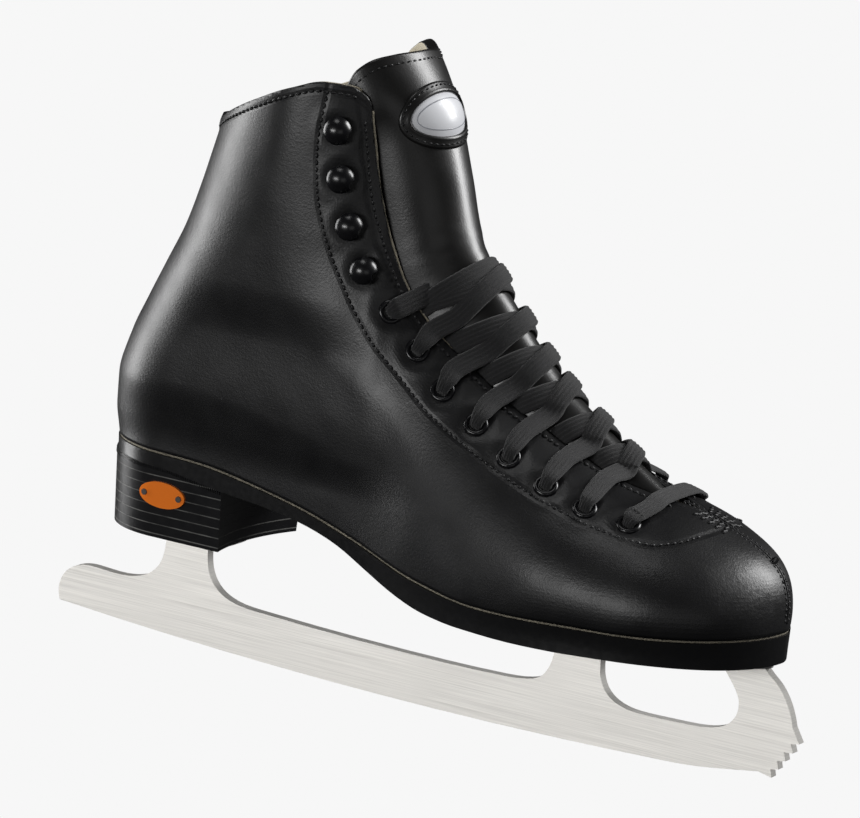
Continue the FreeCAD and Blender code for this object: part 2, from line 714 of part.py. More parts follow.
badge_space, badge_side, badge_up = badge_cylinder(0)
badge = sheet(heel_block(1.0), heel_block(FIT)).common(badge_space)
pin_space = []
pins = []
for direction_sign in (-1, 1):
    foot = BADGE_AT + badge_side * (7.2 * direction_sign) - BADGE_OUT * 4
    pins.append(Part.makeCylinder(1.1, 12, foot, BADGE_OUT).common(heel_block(1.5)))
    pin_space.append(Part.makeCylinder(1.1 + FIT, 14, foot - BADGE_OUT * FIT, BADGE_OUT))
pieces["heel_badge"] = one_solid(badge.cut(pin_space))
pieces["heel_badge_pins"] = Part.Compound(pins)
block = block.cut(pin_space)
floor_of_lifts = GROUND_OF_HEEL + TOP_PIECE
pieces["heel_top_piece"] = one_solid(block.common(box(-140, -60, -40, 40, 0, floor_of_lifts - FIT)))
lifts = []
for k in range(7):
    low = floor_of_lifts + LIFT * k
    high = low + LIFT - FIT
    lift = block.common(box(-140, -60, -40, 40, low, high))
    lifts += [s for s in lift.Solids if s.Volume > 30]
pieces["heel_lifts"] = Part.Compound(lifts)

pieces["blade"] = blade_shape()
toe_plate = plate([(43, 0), (45, 12), (56, 18.5), (74, 22), (94, 21), (112, 16.5), (126, 9.5), (134, 4.5), (136, 0)],
                  toe_plate_top)
heel_plate = plate([(-123, 0), (-120.5, 9.5), (-112, 13), (-99, 14.5), (-88, 14), (-80.5, 10.5), (-78.5, 0)],
                   heel_plate_top)
pieces["toe_plate"] = toe_plate.cut(toe_screw_space)
pieces["heel_plate"] = heel_plate.cut(heel_screw_space)
pieces["toe_plate_screws"] = Part.Compound(screws(TOE_SCREWS, toe_plate_top))
pieces["heel_plate_screws"] = Part.Compound(screws(HEEL_SCREWS, heel_plate_top))

rings = []
hooks = []
for side in (LATERAL, MEDIAL):
    rings += [eyelet(p, out) for p, out in eyelet_places[side]]
    hooks += [hook(p, out) for p, out in hook_places[side]]
pieces["eyelets"] = Part.Compound(rings)
pieces["lace_hooks"] = Part.Compound(hooks)

pieces["tongue_lower"] = tongue_sheet(0.0, FLEX - 0.3, -TONGUE_THICKNESS, 0, 14)
upper_tongue = tongue_sheet(FLEX, TONGUE_LENGTH, -TONGUE_THICKNESS, 0, 10)
pieces["tongue_upper"] = upper_tongue

# tongue badge: a domed oval with a stitched ring round it
BADGE_S = tongue_run[9] - 3.0


def oval_prism(half_wide, half_tall):
    middle, along, out = tongue_frame(BADGE_S)
    points = []
    for k in range(24):
        a = 2 * math.pi * k / 24
        points.append(middle - out * 26 + V(0, half_wide * math.cos(a), 0) + along * (half_tall * math.sin(a)))
    curve = Part.BSplineCurve()
    curve.interpolate(Points=points, PeriodicFlag=True)
    return Part.Face(Part.Wire(curve.toShape())).extrude(out * 40)


badge_sheet = tongue_sheet(tongue_run[7], TONGUE_LENGTH, FIT, 1.3, 8)
ring_sheet = tongue_sheet(tongue_run[7], TONGUE_LENGTH, FIT, 1.7, 8)
pieces["tongue_badge"] = one_solid(badge_sheet.common(oval_prism(14.5, 8.6)))
pieces["tongue_badge_ring"] = one_solid(ring_sheet.common(oval_prism(18.5, 12.4)).cut(oval_prism(14.6, 8.7)))


# laces
def nearest_tongue(x, z):
    best = 0.0
    reach = 1e9
    for k in range(int(TONGUE_LENGTH)):
        d = math.hypot(tongue_x(k) - x, tongue_z(k) - z)
        if d < reach:
            reach = d
            best = float(k)
    return best


def facing_angle(s):
    """Angle over the tongue at which its flank passes the facing's edge."""
    middle, along, out = tongue_frame(s)
    gap = None
    for k in range(int(THROAT_LENGTH * 2)):
        r = k / 2
        point = V(throat_x(r), 0, throat_z(r))
        offset = abs((point - middle).dot(along))
        if gap is None or offset < gap[0]:
            gap = (offset, -(point - middle).dot(out))
    c = 1 - min(0.98, max(0.05, gap[1] / tongue_depth(s)))
    return math.degrees(math.acos(c)), gap[1]


def strand(side, row, lift):
    x, z = EYELETS[row]
    place, out = eyelet_places[side][row]
    s0 = nearest_tongue(x, z)
    pitch = 16.5
    points = [place + out * 1.8]
    outs = [out]
    angle, gap = facing_angle(s0 + 2)
    edge_y = (abs(place.y) + tongue_half(s0) + 1) / 2
    edge = surface_place(side, x + 3.0, min(z + 3.5, ridge_z(x + 3.0) - 1.2))
    points.append(edge[0] + edge[1] * 2.5)
    outs.append(edge[1])
    first = max(18.0, angle - 20)
    last = max(18.0, angle - 6)
    for k in range(9):
        t = k / 8
        a = mix(-first, last, t)
        s = s0 + 3 + (pitch * 0.42) * t
        rise = 1.9 + lift * max(0.0, math.cos(math.radians(a) * 1.2)) ** 1.0
        point = tongue_point(s, side * -a, rise)
        middle, along, up = tongue_frame(s)
        nearby = tongue_point(s, side * -a, rise + 1.0)
        face = nearby - point
        face.normalize()
        points.append(point)
        outs.append(face)
    return band(points, outs, LACE_WIDTH, LACE_THICKNESS)


under = []
over = []
for row in range(7):
    over.append(strand(LATERAL, row, 3.4))
    under.append(strand(MEDIAL, row, 0.0))
pieces["lace_strands_under"] = Part.Compound(under)
pieces["lace_strands_over"] = Part.Compound(over)
bar_points = []
bar_outs = []
for side, heights in ((LATERAL, (88.6, 91, 93.2, 94.8)), (MEDIAL, (94.8, 93.2, 91, 88.6))):
    for z in heights:
        place, out = surface_place(side, 88.4, z)
        bar_points.append(place + out * 1.9)
        bar_outs.append(out)
pieces["lace_toe_bar"] = band(bar_points, bar_outs, LACE_WIDTH, LACE_THICKNESS)

# room for the tongue: it clears the eyelets' barrels, and its upper part clears the shaft at rest and as it folds
barrels = [eyelet(p, out, 0.2) for side in (LATERAL, MEDIAL) for p, out in eyelet_places[side]]
pieces["tongue_lower"] = one_solid(pieces["tongue_lower"].cut(barrels))
FOLD_LINE = V(TONGUE[6][0], 0, TONGUE[6][1])
for name in ("upper", "lining", "facing_stay"):
    for side in (LATERAL, MEDIAL):
        for turn in (0, -3.4, -6.8):
            neighbour = pieces[name + "_" + NAMES[side]].copy()
            neighbour.rotate(FOLD_LINE, V(0, 1, 0), turn)
            upper_tongue = upper_tongue.cut(neighbour)
pieces["tongue_upper"] = one_solid(upper_tongue)

for name in sorted(pieces):
    pieces[name].exportStep("parts/" + name + ".step")
    print(name, pieces[name].isValid(), len(pieces[name].Solids), round(pieces[name].Volume, 1))
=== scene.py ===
import json
import math

import bpy
import numpy as np
from mathutils import Matrix, Vector, noise

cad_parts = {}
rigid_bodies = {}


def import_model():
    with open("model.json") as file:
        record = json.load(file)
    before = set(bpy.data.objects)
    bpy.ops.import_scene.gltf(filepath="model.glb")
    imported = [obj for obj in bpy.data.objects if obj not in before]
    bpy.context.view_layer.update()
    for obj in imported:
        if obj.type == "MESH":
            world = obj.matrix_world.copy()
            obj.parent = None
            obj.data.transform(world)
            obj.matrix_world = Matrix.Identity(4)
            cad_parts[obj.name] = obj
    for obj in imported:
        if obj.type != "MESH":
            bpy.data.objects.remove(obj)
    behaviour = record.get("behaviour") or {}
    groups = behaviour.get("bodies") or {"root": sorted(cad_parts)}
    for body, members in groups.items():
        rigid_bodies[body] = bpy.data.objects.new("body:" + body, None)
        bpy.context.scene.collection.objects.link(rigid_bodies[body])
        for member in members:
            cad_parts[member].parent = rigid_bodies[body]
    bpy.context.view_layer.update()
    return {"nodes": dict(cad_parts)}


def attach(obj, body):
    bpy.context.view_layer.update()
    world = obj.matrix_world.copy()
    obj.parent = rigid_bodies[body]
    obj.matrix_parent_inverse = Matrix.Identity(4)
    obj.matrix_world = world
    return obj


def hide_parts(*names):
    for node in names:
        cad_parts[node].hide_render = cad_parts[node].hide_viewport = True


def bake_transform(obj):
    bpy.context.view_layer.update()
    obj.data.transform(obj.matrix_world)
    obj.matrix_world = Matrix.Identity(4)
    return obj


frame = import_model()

MM = 0.001
LATERAL = -1
MEDIAL = 1
SIDES = (LATERAL, MEDIAL)


# ---------- curves ----------
def smooth(t):
    t = min(1.0, max(0.0, t))
    return t * t * (3 - 2 * t)


def mix(a, b, k):
    return a + (b - a) * k


def through(points):
    """Smooth curve through (position, value) points: no overshoot, level beyond both ends."""
    xs = [p[0] for p in points]
    ys = [p[1] for p in points]
    n = len(xs)
    slopes = [(ys[i + 1] - ys[i]) / (xs[i + 1] - xs[i]) for i in range(n - 1)]
    tangents = [slopes[0]]
    for i in range(1, n - 1):
        before = slopes[i - 1]
        after = slopes[i]
        if before * after <= 0:
            tangents.append(0.0)
            continue
        wide = xs[i + 1] - xs[i - 1]
        weight_a = 2 * xs[i + 1] - xs[i] - xs[i - 1]
        weight_b = xs[i + 1] + xs[i] - 2 * xs[i - 1]
        tangents.append(3 * wide / (weight_a / after + weight_b / before))
    tangents.append(slopes[-1])

    def value(x):
        if x <= xs[0]:
            return ys[0]
        if x >= xs[-1]:
            return ys[-1]
        i = 0
        while xs[i + 1] < x:
            i += 1
        h = xs[i + 1] - xs[i]
        t = (x - xs[i]) / h
        a = (1 + 2 * t) * (1 - t) ** 2 * ys[i] + t * t * (3 - 2 * t) * ys[i + 1]
        b = t * (1 - t) ** 2 * h * tangents[i] + t * t * (t - 1) * h * tangents[i + 1]
        return a + b

    return value


def running_length(points):
    run = [0.0]
    for here, after in zip(points, points[1:]):
        run.append(run[-1] + math.hypot(after[0] - here[0], after[1] - here[1]))
    return run


def along_line(points, column):
    return through([(s, p[column]) for s, p in zip(running_length(points), points)])


def heading(x_of, z_of, s, reach):
    """Way along a side-view line at run s."""
    return Vector((x_of(s + reach) - x_of(s - reach), 0, z_of(s + reach) - z_of(s - reach))).normalized()


# ---------- the boot's form, millimetres ----------
HEEL_END = -127.5
TOE_END = 139.4
TOE_START = 88.0
TOE_ROUNDNESS = {LATERAL: 0.5, MEDIAL: 0.68}
feather = through([(-129, 77.5), (-85, 76.3), (-45, 70.2), (-15, 62.5), (15, 54.5), (40, 51.8),
                   (80, 53.5), (139, 56.5)])
RIDGE = [(139.4, 60), (139.2, 66), (137.6, 72), (134.4, 77.4), (127, 83), (116, 87.8), (104, 92), (88, 96),
         (75, 99.8), (61, 106), (46, 114.3), (32, 122.3), (20, 131.5), (9, 141.5), (0, 152), (-7, 164),
         (-12, 180), (-15, 198), (-18, 216), (-20, 235)]
ridge_z = through(sorted(RIDGE))
ridge_x = through([(z, x) for x, z in RIDGE])
back_x = through([(77, -127.5), (88, -129.6), (100, -129.3), (112, -126.7), (126, -121.1), (141, -114.6),
                  (155, -108.6), (170, -104.1), (185, -100.3), (196, -97.6), (220, -92)])
collar = through([(-98, 195.5), (-84, 203.5), (-70, 210.5), (-56, 216.8), (-44, 220.4), (-36, 220),
                  (-31, 217), (-28, 211)])
base_width = {
    LATERAL: through([(-129, 29.5), (-70, 29.5), (-30, 30.5), (10, 37.5), (40, 43.5), (65, 46), (88, 45.5)]),
    MEDIAL: through([(-129, 29.5), (-70, 28.5), (-30, 25.5), (5, 31), (35, 41), (65, 46), (88, 45)]),
}
shaft_width = through([(77, 29.5), (90, 33), (105, 34), (125, 33.5), (145, 36), (165, 36.5), (205, 37.5),
                       (235, 38)])
back_round = through([(77, 30), (100, 33), (130, 36), (160, 42), (200, 46)])
front_round = through([(77, 70), (140, 60), (170, 50), (200, 47)])


def round_end(q):
    if q >= 1:
        return 1.0
    if q <= 0:
        return 0.0
    return math.sqrt(1 - (1 - q) ** 2)


def arch(t):
    t = min(1.0, max(0.0, t))
    return math.sqrt(max(0.0, 1 - t ** 2.2)) * (1 + 0.06 * math.sin(math.pi * t ** 0.7))


def half_width(side, x, z):
    """How far the boot's outer surface stands from the middle plane at (x, z)."""
    seam = feather(x)
    toward_toe = smooth((x + 35) / 50)
    above_seam = smooth((z - seam) / 28)
    width = mix(base_width[side](x), shaft_width(z), above_seam * (1 - toward_toe))
    toe = 1.0
    if x > TOE_START:
        toe = max(0.0, 1 - ((x - TOE_START) / (TOE_END - TOE_START)) ** 2) ** TOE_ROUNDNESS[side]
    foot = toe * arch((z - seam) / (ridge_z(x) - seam))
    shaft = round_end((ridge_x(z) - x) / front_round(z))
    heel = round_end((x - back_x(z)) / back_round(z))
    return width * heel * mix(shaft, foot, toward_toe)


def surface_place(side, x, z):
    """Point on the leather at (x, z) and the direction straight out of it."""
    h = 1.5
    here = Vector((x, side * half_width(side, x, z), z))
    across_x = Vector((2 * h, side * (half_width(side, x + h, z) - half_width(side, x - h, z)), 0))
    across_z = Vector((0, side * (half_width(side, x, z + h) - half_width(side, x, z - h)), 2 * h))
    out = across_x.cross(across_z).normalized()
    if out.y * side < 0:
        out = -out
    return here, out


# throat between the facings: place seen from the side, and half the opening's width there
THROAT = [(101.5, 93.2, 0.6), (87.4, 95.6, 7), (74.8, 98.8, 9.8), (61.3, 104.1, 11.5), (45.9, 111.4, 13.8),
          (32, 117.8, 15.2), (19.5, 126.1, 15.8), (9.4, 132.5, 17), (-0.6, 140.5, 18.8), (-9.7, 151.5, 20.5),
          (-17.9, 168, 22.2), (-23.9, 184.8, 23), (-26.6, 198.6, 24), (-29.1, 211.7, 24.5), (-31.5, 240, 25)]
throat_x = along_line(THROAT, 0)
throat_z = along_line(THROAT, 1)
throat_half = along_line(THROAT, 2)
THROAT_LENGTH = running_length(THROAT)[-1]

# front line of the tongue seen from the side, half its width, and how far its edges fold back
TONGUE = [(85.4, 97.7, 6.4, 7), (63.8, 112.0, 10.8, 13.5), (45.0, 125.2, 13.8, 18.5),
          (31.2, 138.3, 15.2, 25.5), (20.5, 150.3, 17.0, 31), (11.0, 160.8, 18.6, 30.5),
          (4.4, 171.6, 20.0, 28), (-1.8, 190.5, 20.8, 26), (-7.5, 206.4, 21.6, 24.5),
          (-11.8, 216.2, 22.8, 23.5), (-18, 226, 25.2, 22.5), (-23.5, 234, 26.2, 21.5)]
tongue_run = running_length(TONGUE)
TONGUE_LENGTH = tongue_run[-1]
FLEX = tongue_run[6]
tongue_x = along_line(TONGUE, 0)
tongue_z = along_line(TONGUE, 1)
tongue_half = along_line(TONGUE, 2)
tongue_depth = along_line(TONGUE, 3)


def tongue_frame(s):
    s = min(TONGUE_LENGTH, max(0.0, s))
    ahead = min(TONGUE_LENGTH, s + 2)
    behind = max(0.0, s - 2)
    along = Vector((tongue_x(ahead) - tongue_x(behind), 0, tongue_z(ahead) - tongue_z(behind))).normalized()
    return Vector((tongue_x(s), 0, tongue_z(s))), along, Vector((along.z, 0, -along.x))


def tongue_point(s, angle, rise):
    """A point over the tongue: angle runs -90 to 90 from its lateral edge to its medial edge."""
    middle, along, out = tongue_frame(s)
    extra = max(0.0, s - TONGUE_LENGTH)
    a = math.radians(max(-90.0, min(90.0, angle)))
    y = (tongue_half(s) + rise) * math.sin(a)
    drop = (tongue_depth(s) + rise) * (1 - math.cos(a))
    drop += max(0.0, abs(angle) - 90.0) * 0.35
    return middle + along * extra + Vector((0, y, 0)) + out * (rise - drop)


EYELETS = [(-12.5, 143.9), (-1.5, 132.0), (10.6, 120.3), (25.6, 111.2), (40.6, 102.9), (56.6, 96.2),
           (72.0, 91.3), (88.2, 88.6)]
HOOKS = [(-37.9, 204.5), (-35.1, 187.9), (-30.5, 171.5), (-23.5, 156.7)]


# ---------- building meshes ----------
def new_mesh(name, points, faces, body, slot_name, materials, smooth_shading=True):
    """A mesh from points in millimetres, riding on a CAD body."""
    mesh = bpy.data.meshes.new(name)
    mesh.from_pydata([tuple(c * MM for c in p) for p in points], [], faces)
    mesh.validate()
    if smooth_shading:
        mesh.shade_smooth()
    for material in materials:
        mesh.materials.append(material)
    obj = bpy.data.objects.new(name, mesh)
    bpy.context.scene.collection.objects.link(obj)
    if body:
        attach(obj, body)
    return obj


def clip(points, faces, values):
    """Keeps the part of a mesh where values are above zero, with new corners exactly on the edge."""
    points = list(points)
    made = {}

    def crossing(a, b):
        key = (min(a, b), max(a, b))
        if key not in made:
            t = values[a] / (values[a] - values[b])
            points.append(tuple(points[a][i] + (points[b][i] - points[a][i]) * t for i in range(3)))
            made[key] = len(points) - 1
        return made[key]

    kept = []
    for face in faces:
        inside = [values[i] > 0 for i in face]
        if all(inside):
            kept.append(face)
            continue
        if not any(inside):
            continue
        ring = []
        for k, here in enumerate(face):
            after = face[(k + 1) % len(face)]
            if inside[k]:
                ring.append(here)
            if inside[k] != inside[(k + 1) % len(face)]:
                ring.append(crossing(here, after))
        kept.append(tuple(ring))
    used = sorted(set(i for face in kept for i in face))
    order = {old: new for new, old in enumerate(used)}
    return [points[i] for i in used], [tuple(order[i] for i in face) for face in kept]


def add_modifier(obj, kind, **settings):
    modifier = obj.modifiers.new(kind.lower(), kind)
    for key, value in settings.items():
        setattr(modifier, key, value)
    return modifier


def loop_faces(rings, count):
    """Faces between neighbouring rings of count points each."""
    faces = []
    for r in range(rings - 1):
        for j in range(count):
            n = (j + 1) % count
            faces.append((r * count + j, r * count + n, (r + 1) * count + n, (r + 1) * count + j))
    return faces


def sheet_faces(rows, columns):
    """Faces of an open sheet of rows by columns squares."""
    wide = columns + 1
    starts = [r * wide + c for r in range(rows) for c in range(columns)]
    return [(a, a + 1, a + wide + 1, a + wide) for a in starts]


def closed_tube(points, rings, count):
    """Corners and faces of rings joined to a tube with both ends shut."""
    first = tuple(reversed(range(count)))
    last = tuple((rings - 1) * count + j for j in range(count))
    return points, loop_faces(rings, count) + [first, last]


def sweep(points, outs, section):
    """Corners and faces of a shape swept along points; section gives (across, out) corners at share t."""
    corners = []
    last = len(points) - 1
    for k, point in enumerate(points):
        along = (points[min(k + 1, last)] - points[max(k - 1, 0)]).normalized()
        across = along.cross(outs[k]).normalized()
        face_out = across.cross(along).normalized()
        for a, o in section(k / last):
            corners.append(point + across * a + face_out * o)
    return closed_tube(corners, last + 1, len(section(0.0)))


def cord(line, section):
    """A cord of one section along a line of (place, outward) pairs."""
    return sweep([place for place, out in line], [out for place, out in line], lambda t: section)


def oval(wide, tall, sides=8):
    """Corners of a small oval section."""
    turns = [2 * math.pi * q / sides for q in range(sides)]
    return [(wide * math.cos(a), tall * math.sin(a)) for a in turns]


def merge(parts):
    points = []
    faces = []
    for more_points, more_faces in parts:
        shift = len(points)
        points += more_points
        faces += [tuple(i + shift for i in face) for face in more_faces]
    return points, faces


# ---------- materials ----------
def new_material(name):
    material = bpy.data.materials.new(name)
    material.use_nodes = True
    nodes = material.node_tree.nodes
    links = material.node_tree.links
    return material, nodes, links, nodes["Principled BSDF"]


def add_node(nodes, kind, **settings):
    node = nodes.new(kind)
    for key, value in settings.items():
        if key in node.inputs:
            node.inputs[key].default_value = value
        else:
            setattr(node, key, value)
    return node


def place_coordinates(nodes):
    return add_node(nodes, "ShaderNodeTexCoord").outputs["Object"]


def ramp(nodes, links, source, low, high, low_value=0.0, high_value=1.0):
    node = add_node(nodes, "ShaderNodeMapRange")
    node.inputs["From Min"].default_value = low
    node.inputs["From Max"].default_value = high
    node.inputs["To Min"].default_value = low_value
    node.inputs["To Max"].default_value = high_value
    links.new(source, node.inputs["Value"])
    return node.outputs["Result"]


def bump(nodes, links, height, strength, distance, under=None):
    """Relief from a height, laid over another relief if one is given."""
    node = add_node(nodes, "ShaderNodeBump", Strength=strength, Distance=distance)
    links.new(height, node.inputs["Height"])
    if under:
        links.new(under, node.inputs["Normal"])
    return node.outputs["Normal"]


def color_mix(nodes, links, share, low, high):
    node = add_node(nodes, "ShaderNodeMix", data_type="RGBA")
    node.inputs[6].default_value = (*low, 1)
    node.inputs[7].default_value = (*high, 1)
    links.new(share, node.inputs[0])
    return node.outputs[2]


def calculate(nodes, links, operation, first, second):
    """A sum on one socket, with a second socket or a plain number."""
    node = add_node(nodes, "ShaderNodeMath", operation=operation)
    links.new(first, node.inputs[0])
    if isinstance(second, (int, float)):
        node.inputs[1].default_value = second
    else:
        links.new(second, node.inputs[1])
    return node.outputs[0]


def leather(name, color, roughness, grain=0.06, seam_names=()):
    """Smooth finished leather: fine pores, soft creases, an uneven sheen and sunk seam lines."""
    material, nodes, links, shader = new_material(name)
    where = place_coordinates(nodes)
    pores = add_node(nodes, "ShaderNodeTexVoronoi", Scale=1500.0)
    links.new(where, pores.inputs["Vector"])
    creases = add_node(nodes, "ShaderNodeTexNoise", Scale=900.0, Detail=3.0, Roughness=0.6)
    links.new(where, creases.inputs["Vector"])
    waves = add_node(nodes, "ShaderNodeTexNoise", Scale=70.0, Detail=2.0)
    links.new(where, waves.inputs["Vector"])
    fine = bump(nodes, links, pores.outputs["Distance"], grain, 0.0003)
    last = bump(nodes, links, creases.outputs["Fac"], grain * 2.2, 0.0003, fine)
    for seam_name in seam_names:
        signed = add_node(nodes, "ShaderNodeAttribute", attribute_name=seam_name)
        distance = calculate(nodes, links, "ABSOLUTE", signed.outputs["Fac"], 0)
        groove = ramp(nodes, links, distance, 0.15, 1.25)
        last = bump(nodes, links, groove, 0.45, 0.0004, last)
    links.new(last, shader.inputs["Normal"])
    sheen = ramp(nodes, links, waves.outputs["Fac"], 0.3, 0.7, roughness - 0.03, roughness + 0.04)
    links.new(sheen, shader.inputs["Roughness"])
    shader.inputs["Base Color"].default_value = (*color, 1)
    shader.inputs["Specular IOR Level"].default_value = 0.5
    return material


def cloth(name, color, scale, roughness=0.9, strength=0.4):
    """Cloth with a fine fuzzy thread relief and a soft sheen."""
    material, nodes, links, shader = new_material(name)
    where = place_coordinates(nodes)
    fuzz = add_node(nodes, "ShaderNodeTexNoise", Scale=scale * 2.3, Detail=3.0)
    links.new(where, fuzz.inputs["Vector"])
    links.new(bump(nodes, links, fuzz.outputs["Fac"], strength, 0.0004), shader.inputs["Normal"])
    shade = color_mix(nodes, links, fuzz.outputs["Fac"], [c * 0.72 for c in color], color)
    links.new(shade, shader.inputs["Base Color"])
    shader.inputs["Roughness"].default_value = roughness
    shader.inputs["Sheen Weight"].default_value = 0.2
    return material


def painted(name, color, roughness, coat=0.0, grain_scale=900.0, relief_strength=0.04):
    """A painted or moulded hard surface with a trace of unevenness."""
    material, nodes, links, shader = new_material(name)
    where = place_coordinates(nodes)
    grain = add_node(nodes, "ShaderNodeTexNoise", Scale=grain_scale, Detail=3.0)
    links.new(where, grain.inputs["Vector"])
    links.new(bump(nodes, links, grain.outputs["Fac"], relief_strength, 0.0004), shader.inputs["Normal"])
    uneven = ramp(nodes, links, grain.outputs["Fac"], 0.3, 0.7, roughness * 0.92, roughness * 1.1)
    links.new(uneven, shader.inputs["Roughness"])
    shader.inputs["Base Color"].default_value = (*color, 1)
    shader.inputs["Coat Weight"].default_value = coat
    shader.inputs["Coat Roughness"].default_value = 0.08
    return material


def brushed(name, color, roughness, stretch=(6.0, 6.0, 900.0)):
    """Brushed stainless steel: fine scratches drawn out along the length."""
    material, nodes, links, shader = new_material(name)
    where = place_coordinates(nodes)
    mapping = add_node(nodes, "ShaderNodeMapping")
    mapping.inputs["Scale"].default_value = stretch
    links.new(where, mapping.inputs["Vector"])
    lines = add_node(nodes, "ShaderNodeTexNoise", Scale=3.0, Detail=6.0, Roughness=0.65)
    links.new(mapping.outputs["Vector"], lines.inputs["Vector"])
    links.new(bump(nodes, links, lines.outputs["Fac"], 0.12, 0.0002), shader.inputs["Normal"])
    rough = ramp(nodes, links, lines.outputs["Fac"], 0.25, 0.75, roughness - 0.06, roughness + 0.08)
    links.new(rough, shader.inputs["Roughness"])
    streaks = ramp(nodes, links, lines.outputs["Fac"], 0.36, 0.64)
    shade = color_mix(nodes, links, streaks, [c * 0.80 for c in color], color)
    links.new(shade, shader.inputs["Base Color"])
    shader.inputs["Metallic"].default_value = 1.0
    return material


SEAM_NAMES = ("facing_distance", "quarter_distance", "collar_distance")
leather_upper = leather("leather_upper", (0.0030, 0.0030, 0.0036), 0.40, 0.085, SEAM_NAMES)
leather_plain = leather("leather_plain", (0.004, 0.004, 0.0045), 0.6)
leather_plain.node_tree.nodes["Principled BSDF"].inputs["Specular IOR Level"].default_value = 0.12
leather_tongue = leather("leather_tongue", (0.0050, 0.0048, 0.0046), 0.33, 0.045)
lining_cream = cloth("lining_cream", (0.62, 0.56, 0.43), 700.0)
thread_black = painted("thread_black", (0.004, 0.004, 0.005), 0.5, 0.0, 2500.0, 0.4)
lace_black = cloth("lace_black", (0.0048, 0.0046, 0.0055), 1300.0, 0.75, 1.0)
sole_black = painted("sole_black", (0.004, 0.004, 0.0045), 0.3, 0.0, 500.0, 0.05)
heel_black = painted("heel_black", (0.006, 0.006, 0.007), 0.3, 0.0, 350.0, 0.06)


def paint_lift_join_highlights(material, first, pitch, thickness):
    """Thin pale lines painted where the heel's layers meet, a painted highlight on the joins' edges; the
    front of the heel keeps only the lowest.
    """
    nodes = material.node_tree.nodes
    links = material.node_tree.links
    geometry = nodes.new("ShaderNodeNewGeometry")
    split = nodes.new("ShaderNodeSeparateXYZ")
    links.new(geometry.outputs["Position"], split.inputs[0])
    above_first = calculate(nodes, links, "SUBTRACT", split.outputs["Z"], first)
    looped = calculate(nodes, links, "PINGPONG", above_first, pitch / 2)
    near = ramp(nodes, links, looped, thickness * 0.2, thickness * 0.6, 1.0, 0.0)
    breaks = add_node(nodes, "ShaderNodeTexNoise", Scale=120.0, Detail=4.0)
    links.new(geometry.outputs["Position"], breaks.inputs["Vector"])
    shown = ramp(nodes, links, breaks.outputs["Fac"], 0.35, 0.6, 0.25, 1.0)
    facing_way = nodes.new("ShaderNodeSeparateXYZ")
    links.new(geometry.outputs["Normal"], facing_way.inputs[0])
    off_the_front = ramp(nodes, links, facing_way.outputs["X"], 0.45, 0.6, 1.0, 0.0)
    lowest_line = ramp(nodes, links, above_first, pitch * 0.4, pitch * 0.6, 1.0, 0.0)
    kept = calculate(nodes, links, "MAXIMUM", off_the_front, lowest_line)
    outside = calculate(nodes, links, "MULTIPLY", shown, kept)
    amount = calculate(nodes, links, "MULTIPLY", near, outside)
    # painted highlight: pale grey colour along the layer joins, in place of light caught on their edges
    shade = color_mix(nodes, links, amount, (0.006, 0.006, 0.007), (0.20, 0.20, 0.19))
    links.new(shade, nodes["Principled BSDF"].inputs["Base Color"])


def add_specks(material):
    """Pale specks of worn fibre over the dark seam between leather and sole."""
    nodes = material.node_tree.nodes
    links = material.node_tree.links
    specks = add_node(nodes, "ShaderNodeTexNoise", Scale=260.0, Detail=5.0, Roughness=0.7)
    share = ramp(nodes, links, specks.outputs["Fac"], 0.42, 0.62)
    shade = color_mix(nodes, links, share, (0.012, 0.011, 0.010), (0.42, 0.38, 0.29))
    links.new(shade, nodes["Principled BSDF"].inputs["Base Color"])


FIRST_LAYER = 0.0494
LAYER = 0.0036
# the heel's layer joins get painted highlight lines
paint_lift_join_highlights(heel_black, FIRST_LAYER, LAYER, 0.00042)
seam_beige = painted("seam_beige", (0.30, 0.25, 0.17), 0.75, 0.0, 900.0, 0.3)
add_specks(seam_beige)
enamel_black = painted("enamel_black", (0.004, 0.004, 0.005), 0.26, 0.0, 200.0, 0.01)
board_brown = painted("board_brown", (0.30, 0.22, 0.14), 0.85, 0.0, 700.0, 0.3)
foam_cream = cloth("foam_cream", (0.55, 0.50, 0.42), 500.0)
steel_blade = brushed("steel_blade", (0.80, 0.78, 0.74), 0.42)
steel_blade.node_tree.nodes["Principled BSDF"].inputs["Metallic"].default_value = 0.55
steel_plate = brushed("steel_plate", (0.70, 0.69, 0.67), 0.36, (900.0, 6.0, 6.0))
steel_screw = brushed("steel_screw", (0.55, 0.55, 0.55), 0.3, (300.0, 300.0, 10.0))
badge_white = painted("badge_white", (0.70, 0.71, 0.74), 0.35, 0.1, 60.0, 0.0)
badge_grey = painted("badge_grey", (0.30, 0.31, 0.34), 0.4, 0.1, 300.0, 0.02)
badge_orange = painted("badge_orange", (0.95, 0.22, 0.02), 0.22, 0.5, 60.0, 0.0)
pin_dark = painted("pin_dark", (0.10, 0.09, 0.085), 0.22, 0.4, 300.0, 0.02)

